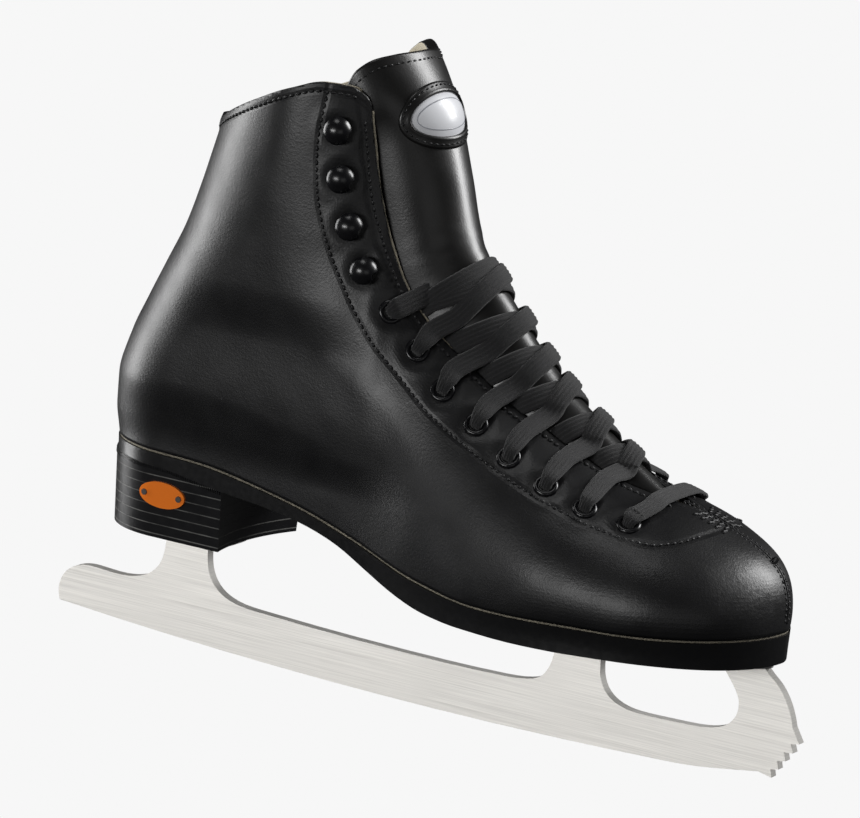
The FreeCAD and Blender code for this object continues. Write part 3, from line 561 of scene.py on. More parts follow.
# finish of each CAD solid that shows itself, and how far its edges are rounded
CAD_FINISH = {
    "blade": (steel_blade, 0.22),
    "toe_plate": (steel_plate, 0.3),
    "heel_plate": (steel_plate, 0.3),
    "toe_plate_screws": (steel_screw, 0.0),
    "heel_plate_screws": (steel_screw, 0.0),
    "shank": (steel_screw, 0.0),
    "outsole": (sole_black, 1.1),
    "midsole": (seam_beige, 0.0),
    "heel_lifts": (heel_black, 0.3),
    "heel_top_piece": (heel_black, 0.7),
    "eyelets": (enamel_black, 0.0),
    "lace_hooks": (enamel_black, 0.3),
    "heel_badge": (badge_orange, 0.25),
    "heel_badge_pins": (pin_dark, 0.25),
    "insole_board": (board_brown, 0.0),
    "heel_counter": (board_brown, 0.0),
    "toe_puff": (board_brown, 0.0),
    "facing_stay_lateral": (board_brown, 0.0),
    "facing_stay_medial": (board_brown, 0.0),
    "footbed": (foam_cream, 0.0),
    "ankle_padding_lateral": (foam_cream, 0.0),
    "ankle_padding_medial": (foam_cream, 0.0),
}
for node_name, (material, rounding) in CAD_FINISH.items():
    node = frame["nodes"][node_name]
    for k in range(max(1, len(node.material_slots))):
        if len(node.material_slots) <= k:
            node.data.materials.append(material)
        else:
            node.material_slots[k].material = material
    if rounding:
        add_modifier(node, "BEVEL", width=rounding * MM, segments=3, limit_method="ANGLE",
                     angle_limit=math.radians(40), harden_normals=False)

# ---------- upper leather ----------
# level lines run from the back seam to the front ridge, evenly spaced along the ridge
RIDGE_FROM_TOE = [(TOE_END, feather(TOE_END))] + RIDGE
ridge_run = running_length(RIDGE_FROM_TOE)
ridge_at_x = along_line(RIDGE_FROM_TOE, 0)
ridge_at_z = along_line(RIDGE_FROM_TOE, 1)
back_level = through([(56.5, 77.5), (66, 85), (77.4, 94), (92, 105), (106, 119), (131.5, 140), (152, 156),
                      (180, 177), (216, 208), (235, 226)])
ROWS = 190
COLUMNS = 150


def form_point(side, row, column):
    front_s = ridge_run[-1] * row / ROWS
    front = (ridge_at_x(front_s), ridge_at_z(front_s))
    level = back_level(front[1])
    start = (back_x(level), level)
    u = (1 - math.cos(math.pi * column / COLUMNS)) / 2
    sag = 1 - smooth((front[1] - 56.5) / 75)
    x = mix(start[0], front[0], u)
    chord = mix(feather(HEEL_END), feather(TOE_END), (x - HEEL_END) / (TOE_END - HEEL_END))
    window = mix(smooth(6 * u * (1 - u)), 1.0, 1 - smooth(row / 8))
    z = mix(start[1], front[1], u) + sag * (feather(x) - chord) * window
    y = 0.0 if column in (0, COLUMNS) else side * half_width(side, x, z)
    return (x, y, z)


def nearest_run(x, z, x_of, z_of, length):
    """How far along a side-view line its nearest point to (x, z) lies."""
    best = 0.0
    reach = 1e9
    steps = int(length)
    for k in range(steps + 1):
        s = length * k / steps
        d = (x_of(s) - x) ** 2 + (z_of(s) - z) ** 2
        if d < reach:
            reach = d
            best = s
    return best


THROAT_STEPS = 220
throat_runs = [THROAT_LENGTH * k / THROAT_STEPS for k in range(THROAT_STEPS + 1)]
throat_samples = np.array([[throat_x(s), throat_z(s), throat_half(s)] for s in throat_runs])


def nearest_sample(places, samples):
    """For each place, which sample of a side-view line lies nearest, as seen from the side."""
    away = (places[:, None, 0] - samples[None, :, 0]) ** 2 + (places[:, None, 2] - samples[None, :, 1]) ** 2
    return away.argmin(1)


def throat_values(points):
    """Above zero on the leather side of the facings' edges, below zero in the opening between them."""
    p = np.array(points)
    out = np.zeros(len(p))
    slope = np.gradient(throat_samples[:, :2], axis=0)
    slope /= np.linalg.norm(slope, axis=1)[:, None]
    for start in range(0, len(p), 4000):
        q = p[start:start + 4000]
        near = nearest_sample(q, throat_samples)
        base = throat_samples[near]
        lean = slope[near]
        depth = (q[:, 0] - base[:, 0]) * lean[:, 1] - (q[:, 2] - base[:, 1]) * lean[:, 0]
        beyond = (q[:, 0] - base[:, 0]) * lean[:, 0] + (q[:, 2] - base[:, 1]) * lean[:, 1]
        half = base[:, 2] + np.where(near == 0, np.minimum(beyond, 0) * 0.9, 0)
        value = np.abs(q[:, 1]) - half
        out[start:start + 4000] = np.where(depth < -14, 10.0, value)
    return out


def offset_inward(points, faces, amount):
    mesh = bpy.data.meshes.new("offset")
    mesh.from_pydata(points, [], faces)
    normals = [Vector(v.normal) for v in mesh.vertices]
    bpy.data.meshes.remove(mesh)
    return [tuple(Vector(p) - n * amount) for p, n in zip(points, normals)]


def upper_grid():
    """Both halves of the leather as one mesh, open at the sole."""
    rows = []
    for r in range(ROWS + 1):
        row = [form_point(LATERAL, r, c) for c in range(COLUMNS + 1)]
        row += [form_point(MEDIAL, r, c) for c in range(COLUMNS - 1, 0, -1)]
        rows.append(row)
    return [p for row in rows for p in row], loop_faces(ROWS + 1, len(rows[0]))


def relief(point):
    """Soft unevenness of stretched leather, with folds where the ankle bends."""
    p = Vector(point)
    bend = math.exp(-((p.x + 5) / 45) ** 2 - ((p.z - 110) / 30) ** 2)
    height = 0.16 * noise.noise(p / 34) + 0.03 * noise.noise(p / 9)
    folds = noise.noise(Vector((p.x * 0.75 + p.z * 0.66, p.y * 0.5, p.x * 0.2 - p.z * 0.22)) / 7)
    height += bend * 0.10 * folds
    return height


grid_points, grid_faces = upper_grid()
eyelet_places = {side: [surface_place(side, x, z) for x, z in EYELETS] for side in SIDES}
hook_places = {side: [surface_place(side, x, z) for x, z in HOOKS] for side in SIDES}


def shape_leather(points, faces):
    """Pushes the leather in and out: its unevenness, and a dimple and swell round each eyelet and hook."""
    mesh = bpy.data.meshes.new("normals")
    mesh.from_pydata(points, [], faces)
    normals = np.array([v.normal for v in mesh.vertices])
    bpy.data.meshes.remove(mesh)
    p = np.array(points)
    push = np.array([relief(q) for q in points])
    for side in SIDES:
        for place, out in eyelet_places[side] + hook_places[side]:
            away = np.linalg.norm(p - np.array(place), axis=1)
            push -= 0.55 * np.exp(-(away / 4.6) ** 2)
            push += 0.25 * np.exp(-((away - 7.5) / 2.2) ** 2)
    above_sole = p[:, 2] - np.array([feather(x) for x in p[:, 0]])
    push *= np.clip(above_sole / 4.0, 0, 1)
    middle = p.mean(0)
    sign = np.sign(np.sum(normals * (p - middle), axis=1).mean())
    return [tuple(q) for q in p + normals * (push * sign)[:, None]]


def collar_values(points, drop):
    return np.array([collar(p[0]) - drop - p[2] for p in points])


points = shape_leather(grid_points, grid_faces)
points, faces = clip(points, grid_faces, collar_values(points, 0))
points, faces = clip(points, faces, throat_values(points))
upper = new_mesh("boot_leather", points, faces, "boot", "upper_leather", [leather_upper])
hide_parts("upper_lateral", "upper_medial")

LEATHER_THICKNESS = 2.2
LINING_THICKNESS = 2.0
LINING_DEPTH = 2.3
LINING_FRONT = 112.0
probe = ROWS // 2 * 2 * COLUMNS + COLUMNS // 2
lining_points = offset_inward(grid_points, grid_faces, LINING_DEPTH)
if abs(lining_points[probe][1]) > abs(grid_points[probe][1]):
    lining_points = offset_inward(grid_points, grid_faces, -LINING_DEPTH)
points, faces = clip(lining_points, grid_faces, collar_values(lining_points, 0.1))
points, faces = clip(points, faces, np.array([LINING_FRONT - p[0] for p in points]))
heights = np.array([p[2] for p in points])
peek = 0.1 + 0.9 * np.clip((heights - 120) / 10, 0, 1)
points, faces = clip(points, faces, throat_values(points) + peek)
lining = new_mesh("boot_lining", points, faces, "boot", "lining_cloth", [lining_cream])
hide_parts("lining_lateral", "lining_medial")
for shell, thickness, rounding in ((upper, LEATHER_THICKNESS, 1.0), (lining, LINING_THICKNESS, 0.3)):
    middle_face = shell.data.polygons[len(shell.data.polygons) // 2]
    if middle_face.normal.y * middle_face.center.y < 0:
        shell.data.flip_normals()
    # only the cut edges are marked for rounding, so the crease over the toe stays as it is
    add_modifier(shell, "SOLIDIFY", thickness=thickness * MM, offset=-1.0, bevel_convex=1.0)
    add_modifier(shell, "BEVEL", width=rounding * MM, segments=3, limit_method="WEIGHT")


# ---------- seams and stitches ----------
def facing_line(side, inset, start, stop, count):
    """Line on the leather a fixed distance back from the facing's edge, as (place, outward) pairs."""
    line = []
    for k in range(count + 1):
        s = mix(start, stop, k / count)
        x = throat_x(s)
        z = throat_z(s)
        along = heading(throat_x, throat_z, s, 2)
        place, out = surface_place(side, x, min(z, ridge_z(x) - 0.3))
        back = along.cross(out).normalized()
        if back.y * side < 0:
            back = -back
        moved = place + back * inset
        line.append(surface_place(side, moved.x, moved.z))
    return line


FACING_SEAM_INSET = 2.7
COLLAR_SEAM_DROP = 3.0
FACING_SEAM = [(-42.6, 218.5), (-43.9, 201), (-42.3, 183), (-37.9, 167.4), (-28.5, 149.4),
               (-17.1, 133.5), (-4.6, 122.2), (9.1, 111.8), (26.9, 103.1), (44.3, 96.2), (60.9, 90.8),
               (80.5, 85.9), (98.7, 84.1), (107, 85.6), (110.7, 87.2)]
seam_x = along_line(FACING_SEAM, 0)
seam_z = along_line(FACING_SEAM, 1)
SEAM_LENGTH = running_length(FACING_SEAM)[-1]


def seam_line(side, count=260):
    runs = [SEAM_LENGTH * k / count for k in range(count + 1)]
    return [surface_place(side, seam_x(s), seam_z(s)) for s in runs]


def collar_line(side, drop, count=120):
    places = [mix(-96.8, -33.5, k / count) for k in range(count + 1)]
    return [surface_place(side, x, collar(x) - drop) for x in places]


def beside_ridge(x, z, out, offset):
    """Point on the leather level with ridge point (x, z) and offset to one side of it, found by halving."""
    side = MEDIAL if offset > 0 else LATERAL
    shallow = 0.0
    deep = 9.0
    for _ in range(22):
        depth = (shallow + deep) / 2
        if half_width(side, x - out.x * depth, z - out.z * depth) > abs(offset):
            deep = depth
        else:
            shallow = depth
    place = Vector((x - out.x * deep, offset, z - out.z * deep))
    normal = surface_place(side, place.x, place.z)[1]
    share = min(1.0, abs(offset) / 2.5)
    return place, out.lerp(normal, share).normalized()


def ridge_point(s):
    """Place on the ridge at run s, and the way straight out of it, seen from the side."""
    along = heading(ridge_at_x, ridge_at_z, s, 3)
    return ridge_at_x(s), ridge_at_z(s), Vector((along.z, 0, -along.x))


def toe_line(offset, count=90):
    """Line over the middle of the toe, offset to one side of the seam there."""
    runs = [mix(3.0, ridge_run[7] + 9, k / count) for k in range(count + 1)]
    return [beside_ridge(*ridge_point(s), offset) for s in runs]


def stitches(line, pitch=2.5, length=2.05, radius=0.55, sink=0.0):
    """Short threads lying end to end along a line."""
    ring_count = 5
    sides = 6
    parts = []
    run = [0.0]
    for a, b in zip(line, line[1:]):
        run.append(run[-1] + (b[0] - a[0]).length)
    total = run[-1]
    count = max(1, int(total / pitch))
    j = 0
    for k in range(count):
        s = (k + 0.5) * total / count
        while j < len(run) - 2 and run[j + 1] < s:
            j += 1
        t = (s - run[j]) / max(1e-6, run[j + 1] - run[j])
        place = line[j][0].lerp(line[j + 1][0], t)
        out = line[j][1].lerp(line[j + 1][1], t).normalized()
        along = (line[j + 1][0] - line[j][0]).normalized()
        across = along.cross(out).normalized()
        out = across.cross(along).normalized()
        points = []
        for r in range(ring_count):
            share = r / (ring_count - 1)
            bulge = math.sin(math.pi * mix(0.08, 0.92, share)) ** 0.6
            dip = 0.28 * (2 * share - 1) ** 2
            centre = place + along * ((share - 0.5) * length) + out * (radius * 0.35 - dip - sink)
            for aside, above in oval(radius * bulge, radius * bulge, sides):
                points.append(centre + across * aside + out * above)
        parts.append(closed_tube(points, ring_count, sides))
    return merge(parts)


seam_lines = []
for side in SIDES:
    seam_lines.append(facing_line(side, FACING_SEAM_INSET, 6.0, THROAT_LENGTH - 31, 300))
    seam_lines.append(seam_line(side))
    seam_lines.append(collar_line(side, COLLAR_SEAM_DROP))
thread_parts = [stitches(line) for line in seam_lines]
new_mesh("boot_stitching", *merge(thread_parts), "boot", "upper_leather", [thread_black])


def lining_edge(side):
    """The lining's turned edge, standing a little out from under the facing's edge."""
    line = []
    for place, out in facing_line(side, 0.0, 10.0, THROAT_LENGTH - 7, 260):
        if 133 < place.z < collar(place.x) - 1.5:
            line.append((place, out))
    edge = []
    for k, (place, out) in enumerate(line):
        along = (line[min(k + 1, len(line) - 1)][0] - line[max(k - 1, 0)][0]).normalized()
        inward = out.cross(along)
        if inward.y * side > 0:
            inward = -inward
        wave = 0.18 * noise.noise(place / 3.1)
        edge.append((place - out * 0.95 + inward.normalized() * (0.65 + wave), out))
    return cord(edge, oval(0.6, 0.45))


lining_edges = [lining_edge(side) for side in SIDES]
new_mesh("lining_edges", *merge(lining_edges), "boot", "lining_cloth", [lining_cream])


def signed_distance(places, line_x, line_z, length):
    """Distance from a side-view line, above zero on one side of it and below zero on the other."""
    steps = 400
    runs = [length * k / steps for k in range(steps + 1)]
    samples = np.array([[line_x(s), line_z(s)] for s in runs])
    lean = np.gradient(samples, axis=0)
    lean /= np.linalg.norm(lean, axis=1)[:, None]
    result = np.zeros(len(places))
    for start in range(0, len(places), 8000):
        q = places[start:start + 8000]
        near = nearest_sample(q, samples)
        away = q[:, [0, 2]] - samples[near]
        result[start:start + 8000] = away[:, 0] * lean[near, 1] - away[:, 1] * lean[near, 0]
    return result


corners = np.array([tuple(v.co / MM) for v in upper.data.vertices])
collar_drop = np.array([collar(x) for x in corners[:, 0]]) - corners[:, 2]
seam_values = {
    "facing_distance": throat_values(corners) - FACING_SEAM_INSET,
    "quarter_distance": signed_distance(corners, seam_x, seam_z, SEAM_LENGTH),
    "collar_distance": np.where(corners[:, 2] > 150, collar_drop * 0.92 - 2.8, 9.0),
}
for seam_name, values in seam_values.items():
    attribute = upper.data.attributes.new(seam_name, "FLOAT", "POINT")
    attribute.data.foreach_set("value", values.astype(np.float32))

# ---------- back strip ----------
# its top is where the back line meets the collar line, found by repeating
strip_top = 200.0
for _ in range(20):
    strip_top = collar(back_x(strip_top))
strip_top += 1.4


def back_strip():
    """Rounded strip over the rear seam, swelling to a nub at its top."""
    points = []
    rows = 90
    across = 13
    half = 4.3
    for r in range(rows + 1):
        z = mix(79.5, strip_top, r / rows)
        nub = smooth((z - strip_top + 7) / 4)
        swell = 1.0 + 0.3 * nub * (1 - smooth((z - strip_top + 2) / 2.5))
        for c in range(across + 1):
            t = -1 + 2 * c / across
            y = half * swell * t
            side = MEDIAL if y > 0 else LATERAL
            width = shaft_width(z)
            q = 1 - math.sqrt(max(0.0, 1 - (y / width) ** 2))
            x = back_x(z) + back_round(z) * q
            lift = 2.3 * (1 - t ** 6) ** 0.5 + 1.0 * nub * (1 - t * t)
            if abs(t) > 0.999:
                lift = -0.4
            points.append((x - lift, y, z))
    return points, [tuple(reversed(face)) for face in sheet_faces(rows, across)]


strip = new_mesh("backstay_strip", *back_strip(), "boot", "upper_leather", [leather_plain])
add_modifier(strip, "SOLIDIFY", thickness=0.8 * MM, offset=0.0)
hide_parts("backstay")
strip_stitches = []
STRIP_STEPS = 120
for y in (-3.0, 3.0):
    line = []
    for k in range(STRIP_STEPS + 1):
        z = mix(82, strip_top - 8, k / STRIP_STEPS)
        q = 1 - math.sqrt(1 - (y / shaft_width(z)) ** 2)
        place = Vector((back_x(z) + back_round(z) * q - 2.2, y, z))
        line.append((place, Vector((-1, y / 30, 0)).normalized()))
    strip_stitches.append(stitches(line, 2.5, 1.7, 0.3))
new_mesh("backstay_stitching", *merge(strip_stitches), "boot", "upper_leather", [thread_black])


# ---------- tongue ----------
tongue_edge = through([(-90, -2.8), (-74, 0.4), (-58, 1.3), (-37, 0.3), (-12, -0.9), (2, -1.0), (14, -1.5),
                       (26, -0.6), (36, 2.2), (48, 4.6), (60, 5.4), (74, 5.2), (90, 4.0)])


def tongue_top(angle):
    """How far up the tongue its top edge lies, seen round from one side to the other."""
    return TONGUE_LENGTH + tongue_edge(angle)


def soft_tongue(s, angle, rise):
    """The tongue's surface with a little unevenness from wear."""
    base = tongue_point(s, angle, rise)
    if s < 0:
        middle, along, out = tongue_frame(0)
        base = base + along * s
    wave = 0.3 * noise.noise(base / 20)
    crease = 0.5 * math.exp(-((s - FLEX + 3) / 7) ** 2) * noise.noise(Vector((s / 3.0, angle / 60, 2.0)))
    middle, along, out = tongue_frame(s)
    return base + out * (wave + crease)


TONGUE_THICKNESS = 4.2
TONGUE_ROWS = 150
TONGUE_COLUMNS = 84
ANGLE_END = 122.0
tongue_points = []
for r in range(TONGUE_ROWS + 1):
    for c in range(TONGUE_COLUMNS + 1):
        angle = mix(-ANGLE_END, ANGLE_END, c / TONGUE_COLUMNS)
        s = mix(-9.0, tongue_top(angle), r / TONGUE_ROWS)
        tongue_points.append(tuple(soft_tongue(s, angle, 0.0)))
tongue = new_mesh("tongue_pad", tongue_points, sheet_faces(TONGUE_ROWS, TONGUE_COLUMNS), None,
                  "tongue_leather", [leather_tongue, lining_cream])
middle_face = tongue.data.polygons[len(tongue.data.polygons) // 2 + TONGUE_COLUMNS // 2]
if middle_face.normal.x < 0:
    tongue.data.flip_normals()
middle, along, out = tongue_frame(FLEX)
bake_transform(tongue)
add_modifier(tongue, "SOLIDIFY", thickness=TONGUE_THICKNESS * MM, offset=-1.0, material_offset=1,
             material_offset_rim=0)
add_modifier(tongue, "BEVEL", width=1.5 * MM, segments=4, limit_method="ANGLE",
             angle_limit=math.radians(60))
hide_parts("tongue_lower", "tongue_upper")


def tongue_line(path, rise, count):
    """A line on the tongue; path gives (run, angle) at share t."""
    line = []
    for k in range(count + 1):
        s, angle = path(k / count)
        here = soft_tongue(s, angle, rise)
        up = (soft_tongue(s, angle, rise + 1.0) - here).normalized()
        line.append((here, up))
    return line


HEM_DROP = 3.6
hem = tongue_line(lambda t: (tongue_top(mix(-84, 84, t)) - HEM_DROP, mix(-84, 84, t)), 0.0, 160)
new_mesh("tongue_hem_stitching", *stitches(hem, 2.5, 1.75, 0.36), "tongue_top", "tongue_leather",
         [thread_black])

# ---------- tongue badge ----------
BADGE_S = tongue_run[9] - 4.2
BADGE_ANGLE = -12.0
BADGE_CURVE = 24.4
WHITE_WIDE = 16.0
WHITE_TALL = 8.0
RING_WIDE = 20.4
RING_TALL = 12.4


def badge_point(wide, tall, rise):
    """A point wide mm across the tongue and tall mm up it from the badge's middle."""
    return soft_tongue(BADGE_S + tall, BADGE_ANGLE + math.degrees(wide / BADGE_CURVE), rise)


def oval_sheet(profile, wide, tall, rings, sides=72):
    """A round sheet; profile gives the rise over the tongue at share t from the middle to the rim."""
    points = [badge_point(0, 0, profile(0.0))]
    faces = []
    for r in range(1, rings + 1):
        t = r / rings
        for k in range(sides):
            a = 2 * math.pi * k / sides
            points.append(badge_point(wide * t * math.cos(a), tall * t * math.sin(a), profile(t)))
    for k in range(sides):
        faces.append((0, 1 + k, 1 + (k + 1) % sides))
    for r in range(rings - 1):
        for k in range(sides):
            n = (k + 1) % sides
            a = 1 + r * sides
            faces.append((a + k, a + sides + k, a + sides + n, a + n))
    return points, faces


def oval_ring(heights, sides=96):
    """Rounded leather band round the badge; heights are (share from inner to outer rim, rise)."""
    points = []
    faces = []
    for share, rise in heights:
        for k in range(sides):
            a = 2 * math.pi * k / sides
            wide = mix(WHITE_WIDE - 0.3, RING_WIDE, share)
            tall = mix(WHITE_TALL - 0.3, RING_TALL, share)
            points.append(badge_point(wide * math.cos(a), tall * math.sin(a), rise))
    for r in range(len(heights) - 1):
        for k in range(sides):
            n = (k + 1) % sides
            faces.append((r * sides + k, (r + 1) * sides + k, (r + 1) * sides + n, r * sides + n))
    return points, faces


def dome(t):
    """Rise of the white badge over the tongue at share t from its middle to its rim."""
    return 0.5 + 1.6 * (1 - t ** 2.4)


white = new_mesh("tongue_badge_face", *oval_sheet(dome, WHITE_WIDE, WHITE_TALL, 14),
                 "tongue_top", "badge_white", [badge_white])
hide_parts("tongue_badge")
BAND_PROFILE = [(0, -0.3), (0.02, 0.9), (0.10, 1.5), (0.3, 1.35), (0.62, 0.75), (0.8, 0.85), (0.95, 0.5),
                (1.0, -0.2)]
band_ring = new_mesh("tongue_badge_band", *oval_ring(BAND_PROFILE), "tongue_top", "tongue_leather",
                     [leather_tongue])
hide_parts("tongue_badge_ring")


def oval_line(wide, tall, rise_at, count):
    """Closed oval line over the badge; rise_at gives its rise over the tongue at (across, upward)."""
    line = []
    for k in range(count + 1):
        a = 2 * math.pi * k / count
        across = wide * math.cos(a)
        upward = tall * math.sin(a)
        rise = rise_at(across, upward)
        here = badge_point(across, upward, rise)
        line.append((here, (badge_point(across, upward, rise + 1) - here).normalized()))
    return line


# stitches in the band's groove, and a fine plain line a little proud of the white dome
GROOVE_SHARE = 0.62
GROOVE_RISE = 0.85
LINE_INSET = 2.6
groove = oval_line(mix(WHITE_WIDE, RING_WIDE, GROOVE_SHARE), mix(WHITE_TALL, RING_TALL, GROOVE_SHARE),
                   lambda across, upward: GROOVE_RISE, 140)
new_mesh("tongue_badge_stitching", *stitches(groove, 2.4, 1.7, 0.34), "tongue_top", "tongue_leather",
         [thread_black])
fine_line = oval_line(WHITE_WIDE - LINE_INSET, WHITE_TALL - LINE_INSET,
                      lambda across, upward: dome(math.hypot(across / WHITE_WIDE, upward / WHITE_TALL)), 120)
new_mesh("tongue_badge_line", *cord(fine_line, oval(0.22, 0.14, 6)), "tongue_top", "badge_white",
         [badge_grey])


# ---------- laces ----------
def smooth_path(points, count):
    """Even curve through every point."""
    padded = [points[0] * 2 - points[1]] + list(points) + [points[-1] * 2 - points[-2]]
    result = []
    spans = len(points) - 1
    for k in range(count + 1):
        f = min(spans - 1e-6, spans * k / count)
        i = int(f)
        t = f - i
        p0, p1, p2, p3 = padded[i:i + 4]
        result.append(0.5 * ((2 * p1) + (p2 - p0) * t + (2 * p0 - 5 * p1 + 4 * p2 - p3) * t * t
                             + (3 * p1 - p0 - 3 * p2 + p3) * t ** 3))
    return result


RIBS = 5
LACE_WIDTH = 7.6
LACE_THICKNESS = 1.7
LACE_STEPS = 20


def lace_corners(flat):
    """Section of the woven band with its ribs: flat is 1 where it lies flat and 0 where it is bunched."""
    wide = mix(LACE_WIDTH * 0.62, LACE_WIDTH, flat)
    thick = mix(LACE_THICKNESS * 1.5, LACE_THICKNESS, flat)
    top = []
    bottom = []
    for k in range(LACE_STEPS + 1):
        a = -1 + 2 * k / LACE_STEPS
        body = (1 - abs(a) ** 3.5) ** 0.5
        rib = math.cos(math.pi * RIBS * a) * body
        top.append((a * wide / 2, thick / 2 * body + 0.15 * rib))
        bottom.append((a * wide / 2, -thick / 2 * body - 0.10 * rib))
    return top + bottom[-2:0:-1]


def lace(points, outs, count, flatness):
    """A lace drawn smoothly through points; flatness gives how flat it lies at share t."""
    outs = [v.normalized() for v in smooth_path(outs, count)]
    return sweep(smooth_path(points, count), outs, lambda t: lace_corners(flatness(t)))


def facing_angle(s):
    """Angle over the tongue at which its flank passes the facing's edge."""
    middle, along, out = tongue_frame(s)
    away_x = throat_samples[:, 0] - middle.x
    away_z = throat_samples[:, 1] - middle.z
    k = int(np.abs(away_x * along.x + away_z * along.z).argmin())
    gap = -(away_x[k] * out.x + away_z[k] * out.z)
    c = 1 - min(0.98, max(0.05, gap / tongue_depth(s)))
    return math.degrees(math.acos(c))


lace_parts = []


def out_of_eyelet(place, out, toward):
    """Start of a lace: up out of the eyelet's hole and over toward a point, with the way its face looks."""
    away = toward - place
    away = (away - out * away.dot(out)).normalized()
    points = [place - out * 2.5 - away * 0.2, place + out * 0.2 - away * 0.1,
              place + out * 1.8 + away * 1.3, place + out * 2.1 + away * 4.4]
    outs = [-away, -away, (out - away).normalized(), out]
    return points, outs


FACING_EDGE = 6.7


def lace_strand(side, row, advance, on_top, wobble):
    """From an eyelet over the facing's edge and across the tongue to under the other facing."""
    x, z = EYELETS[row]
    place, out = eyelet_places[side][row]
    s0 = nearest_run(x, z, tongue_x, tongue_z, TONGUE_LENGTH)
    run = nearest_run(x, z, throat_x, throat_z, THROAT_LENGTH)
    climb = heading(throat_x, throat_z, run, 2)
    first_advance = 2.0 if row or on_top else -1.5
    edge_x = x + climb.z * FACING_EDGE + climb.x * first_advance
    edge_z = z - climb.x * FACING_EDGE + climb.z * first_advance
    edge = surface_place(side, edge_x, min(edge_z, ridge_z(edge_x) - 1.0))
    points, outs = out_of_eyelet(place, out, edge[0])
    start_rise = 1.9 if on_top else 1.1
    points.append(edge[0] + edge[1] * (start_rise + 0.2))
    outs.append(edge[1])
    first = max(20.0, facing_angle(s0 + 3) - 16)
    last = facing_angle(s0 + advance) + 6
    steps = 8
    for k in range(steps + 1):
        t = k / steps
        a = mix(-first, last, t)
        s = s0 + mix(first_advance + 1, advance, t) + wobble * math.sin(math.pi * t)
        if on_top:
            rise = 1.3 + 1.9 * math.exp(-((t - 0.45) / 0.24) ** 2) - 1.5 * smooth((t - 0.75) / 0.25)
        else:
            rise = 1.2 + 0.7 * (1 - smooth(t / 0.34)) - 1.6 * smooth((t - 0.84) / 0.16)
        point = tongue_point(s, -side * a, rise)
        outs.append((tongue_point(s, -side * a, rise + 1.0) - point).normalized())
        points.append(point)
    return lace(points, outs, 84, lambda t: smooth((t - 0.10) / 0.2))


for row in range(7):
    if row:
        advance = 13.0 + 0.6 * math.sin(row * 2.1)
        lace_parts.append(lace_strand(LATERAL, row, advance, True, 0.8 * math.sin(row * 1.7)))
    advance = 12.4 + 0.7 * math.cos(row * 1.3) if row else -2.0
    lace_parts.append(lace_strand(MEDIAL, row, advance, False, 0.8 * math.cos(row * 2.3)))


def tuck_strand(side):
    """Top row: the lace leaves the eyelet, goes over the facing's edge and back inside."""
    x, z = EYELETS[0]
    place, out = eyelet_places[side][0]
    edge = surface_place(side, x + 8.0, z + 6.5)
    points, outs = out_of_eyelet(place, out, edge[0])
    inward = Vector((edge[0].x + 2.5, side * (abs(edge[0].y) - 4.5), edge[0].z + 2.5))
    points += [edge[0] + edge[1] * 2.2, inward + edge[1] * 0.8, inward - edge[1] * 5.0]
    outs += [(edge[1] + Vector((0.3, 0, 0.1))).normalized(), Vector((0.9, -side * 0.3, 0.3)).normalized(),
             Vector((0.9, -side * 0.9, 0.2)).normalized()]
    return lace(points, outs, 60, lambda t: smooth((t - 0.12) / 0.3))


for side in SIDES:
    lace_parts.append(tuck_strand(side))

# the bar across the lowest pair of eyelets, over the facings
BAR_RISE = 2.0
BAR_HEIGHTS = (88.6, 90.2, 92.4, 94.3)
bar_points = []
bar_outs = []
for side, heights in ((LATERAL, BAR_HEIGHTS), (MEDIAL, BAR_HEIGHTS[::-1])):
    for z in heights:
        place, out = surface_place(side, 88.4 + 3.0 * smooth((z - 89) / 4), z)
        bar_points.append(place + out * BAR_RISE)
        bar_outs.append(out)
first_points, first_outs = out_of_eyelet(*eyelet_places[LATERAL][7], bar_points[1])
last_points, last_outs = out_of_eyelet(*eyelet_places[MEDIAL][7], bar_points[-2])
bar_points = first_points + bar_points[1:-1] + last_points[::-1]
bar_outs = first_outs + bar_outs[1:-1] + last_outs[::-1]
lace_parts.append(lace(bar_points, bar_outs, 90, lambda t: smooth((min(t, 1 - t) - 0.08) / 0.14)))

laces = new_mesh("laces", *merge(lace_parts), "boot", "lace_cord", [lace_black])
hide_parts("lace_strands_over", "lace_strands_under", "lace_toe_bar")

# ---------- throat bar tack and toe seam ----------
toe_parts = [stitches(toe_line(offset), 2.0, 1.6, 0.34, 0.1) for offset in (1.5, -1.5)]
toe_parts.append(cord(toe_line(0.05), oval(0.4, 0.35)))
TACK_ROWS = 5
TACK_STEPS = 8
TACK_START = ridge_run[7] - 1.5
for side in SIDES:
    for k in range(TACK_ROWS):
        line = []
        for j in range(TACK_STEPS + 1):
            reach = mix(0.8, 7.2, j / TACK_STEPS)
            s = TACK_START - 2.0 * k - (k - 2) * 0.16 * reach + 0.5 * math.sin(reach * 2.2)
            place, out = beside_ridge(*ridge_point(s), side * reach)
            line.append((place + out * 0.2, out))
        toe_parts.append(cord(line, oval(0.55, 0.45)))
new_mesh("toe_seam_stitching", *merge(toe_parts), "boot", "upper_leather", [thread_black])

# ---------- fine ribbed band round the top of the heel ----------
HEEL_CENTRE = -100.9
HEEL_LENGTH = 27.1
HEEL_BREAST = -72.4
HEEL_HALF_WIDTH = 27.8
sole_bottom = through([(-129, 72), (-100, 71.4), (-72, 67.6), (-55, 66)])


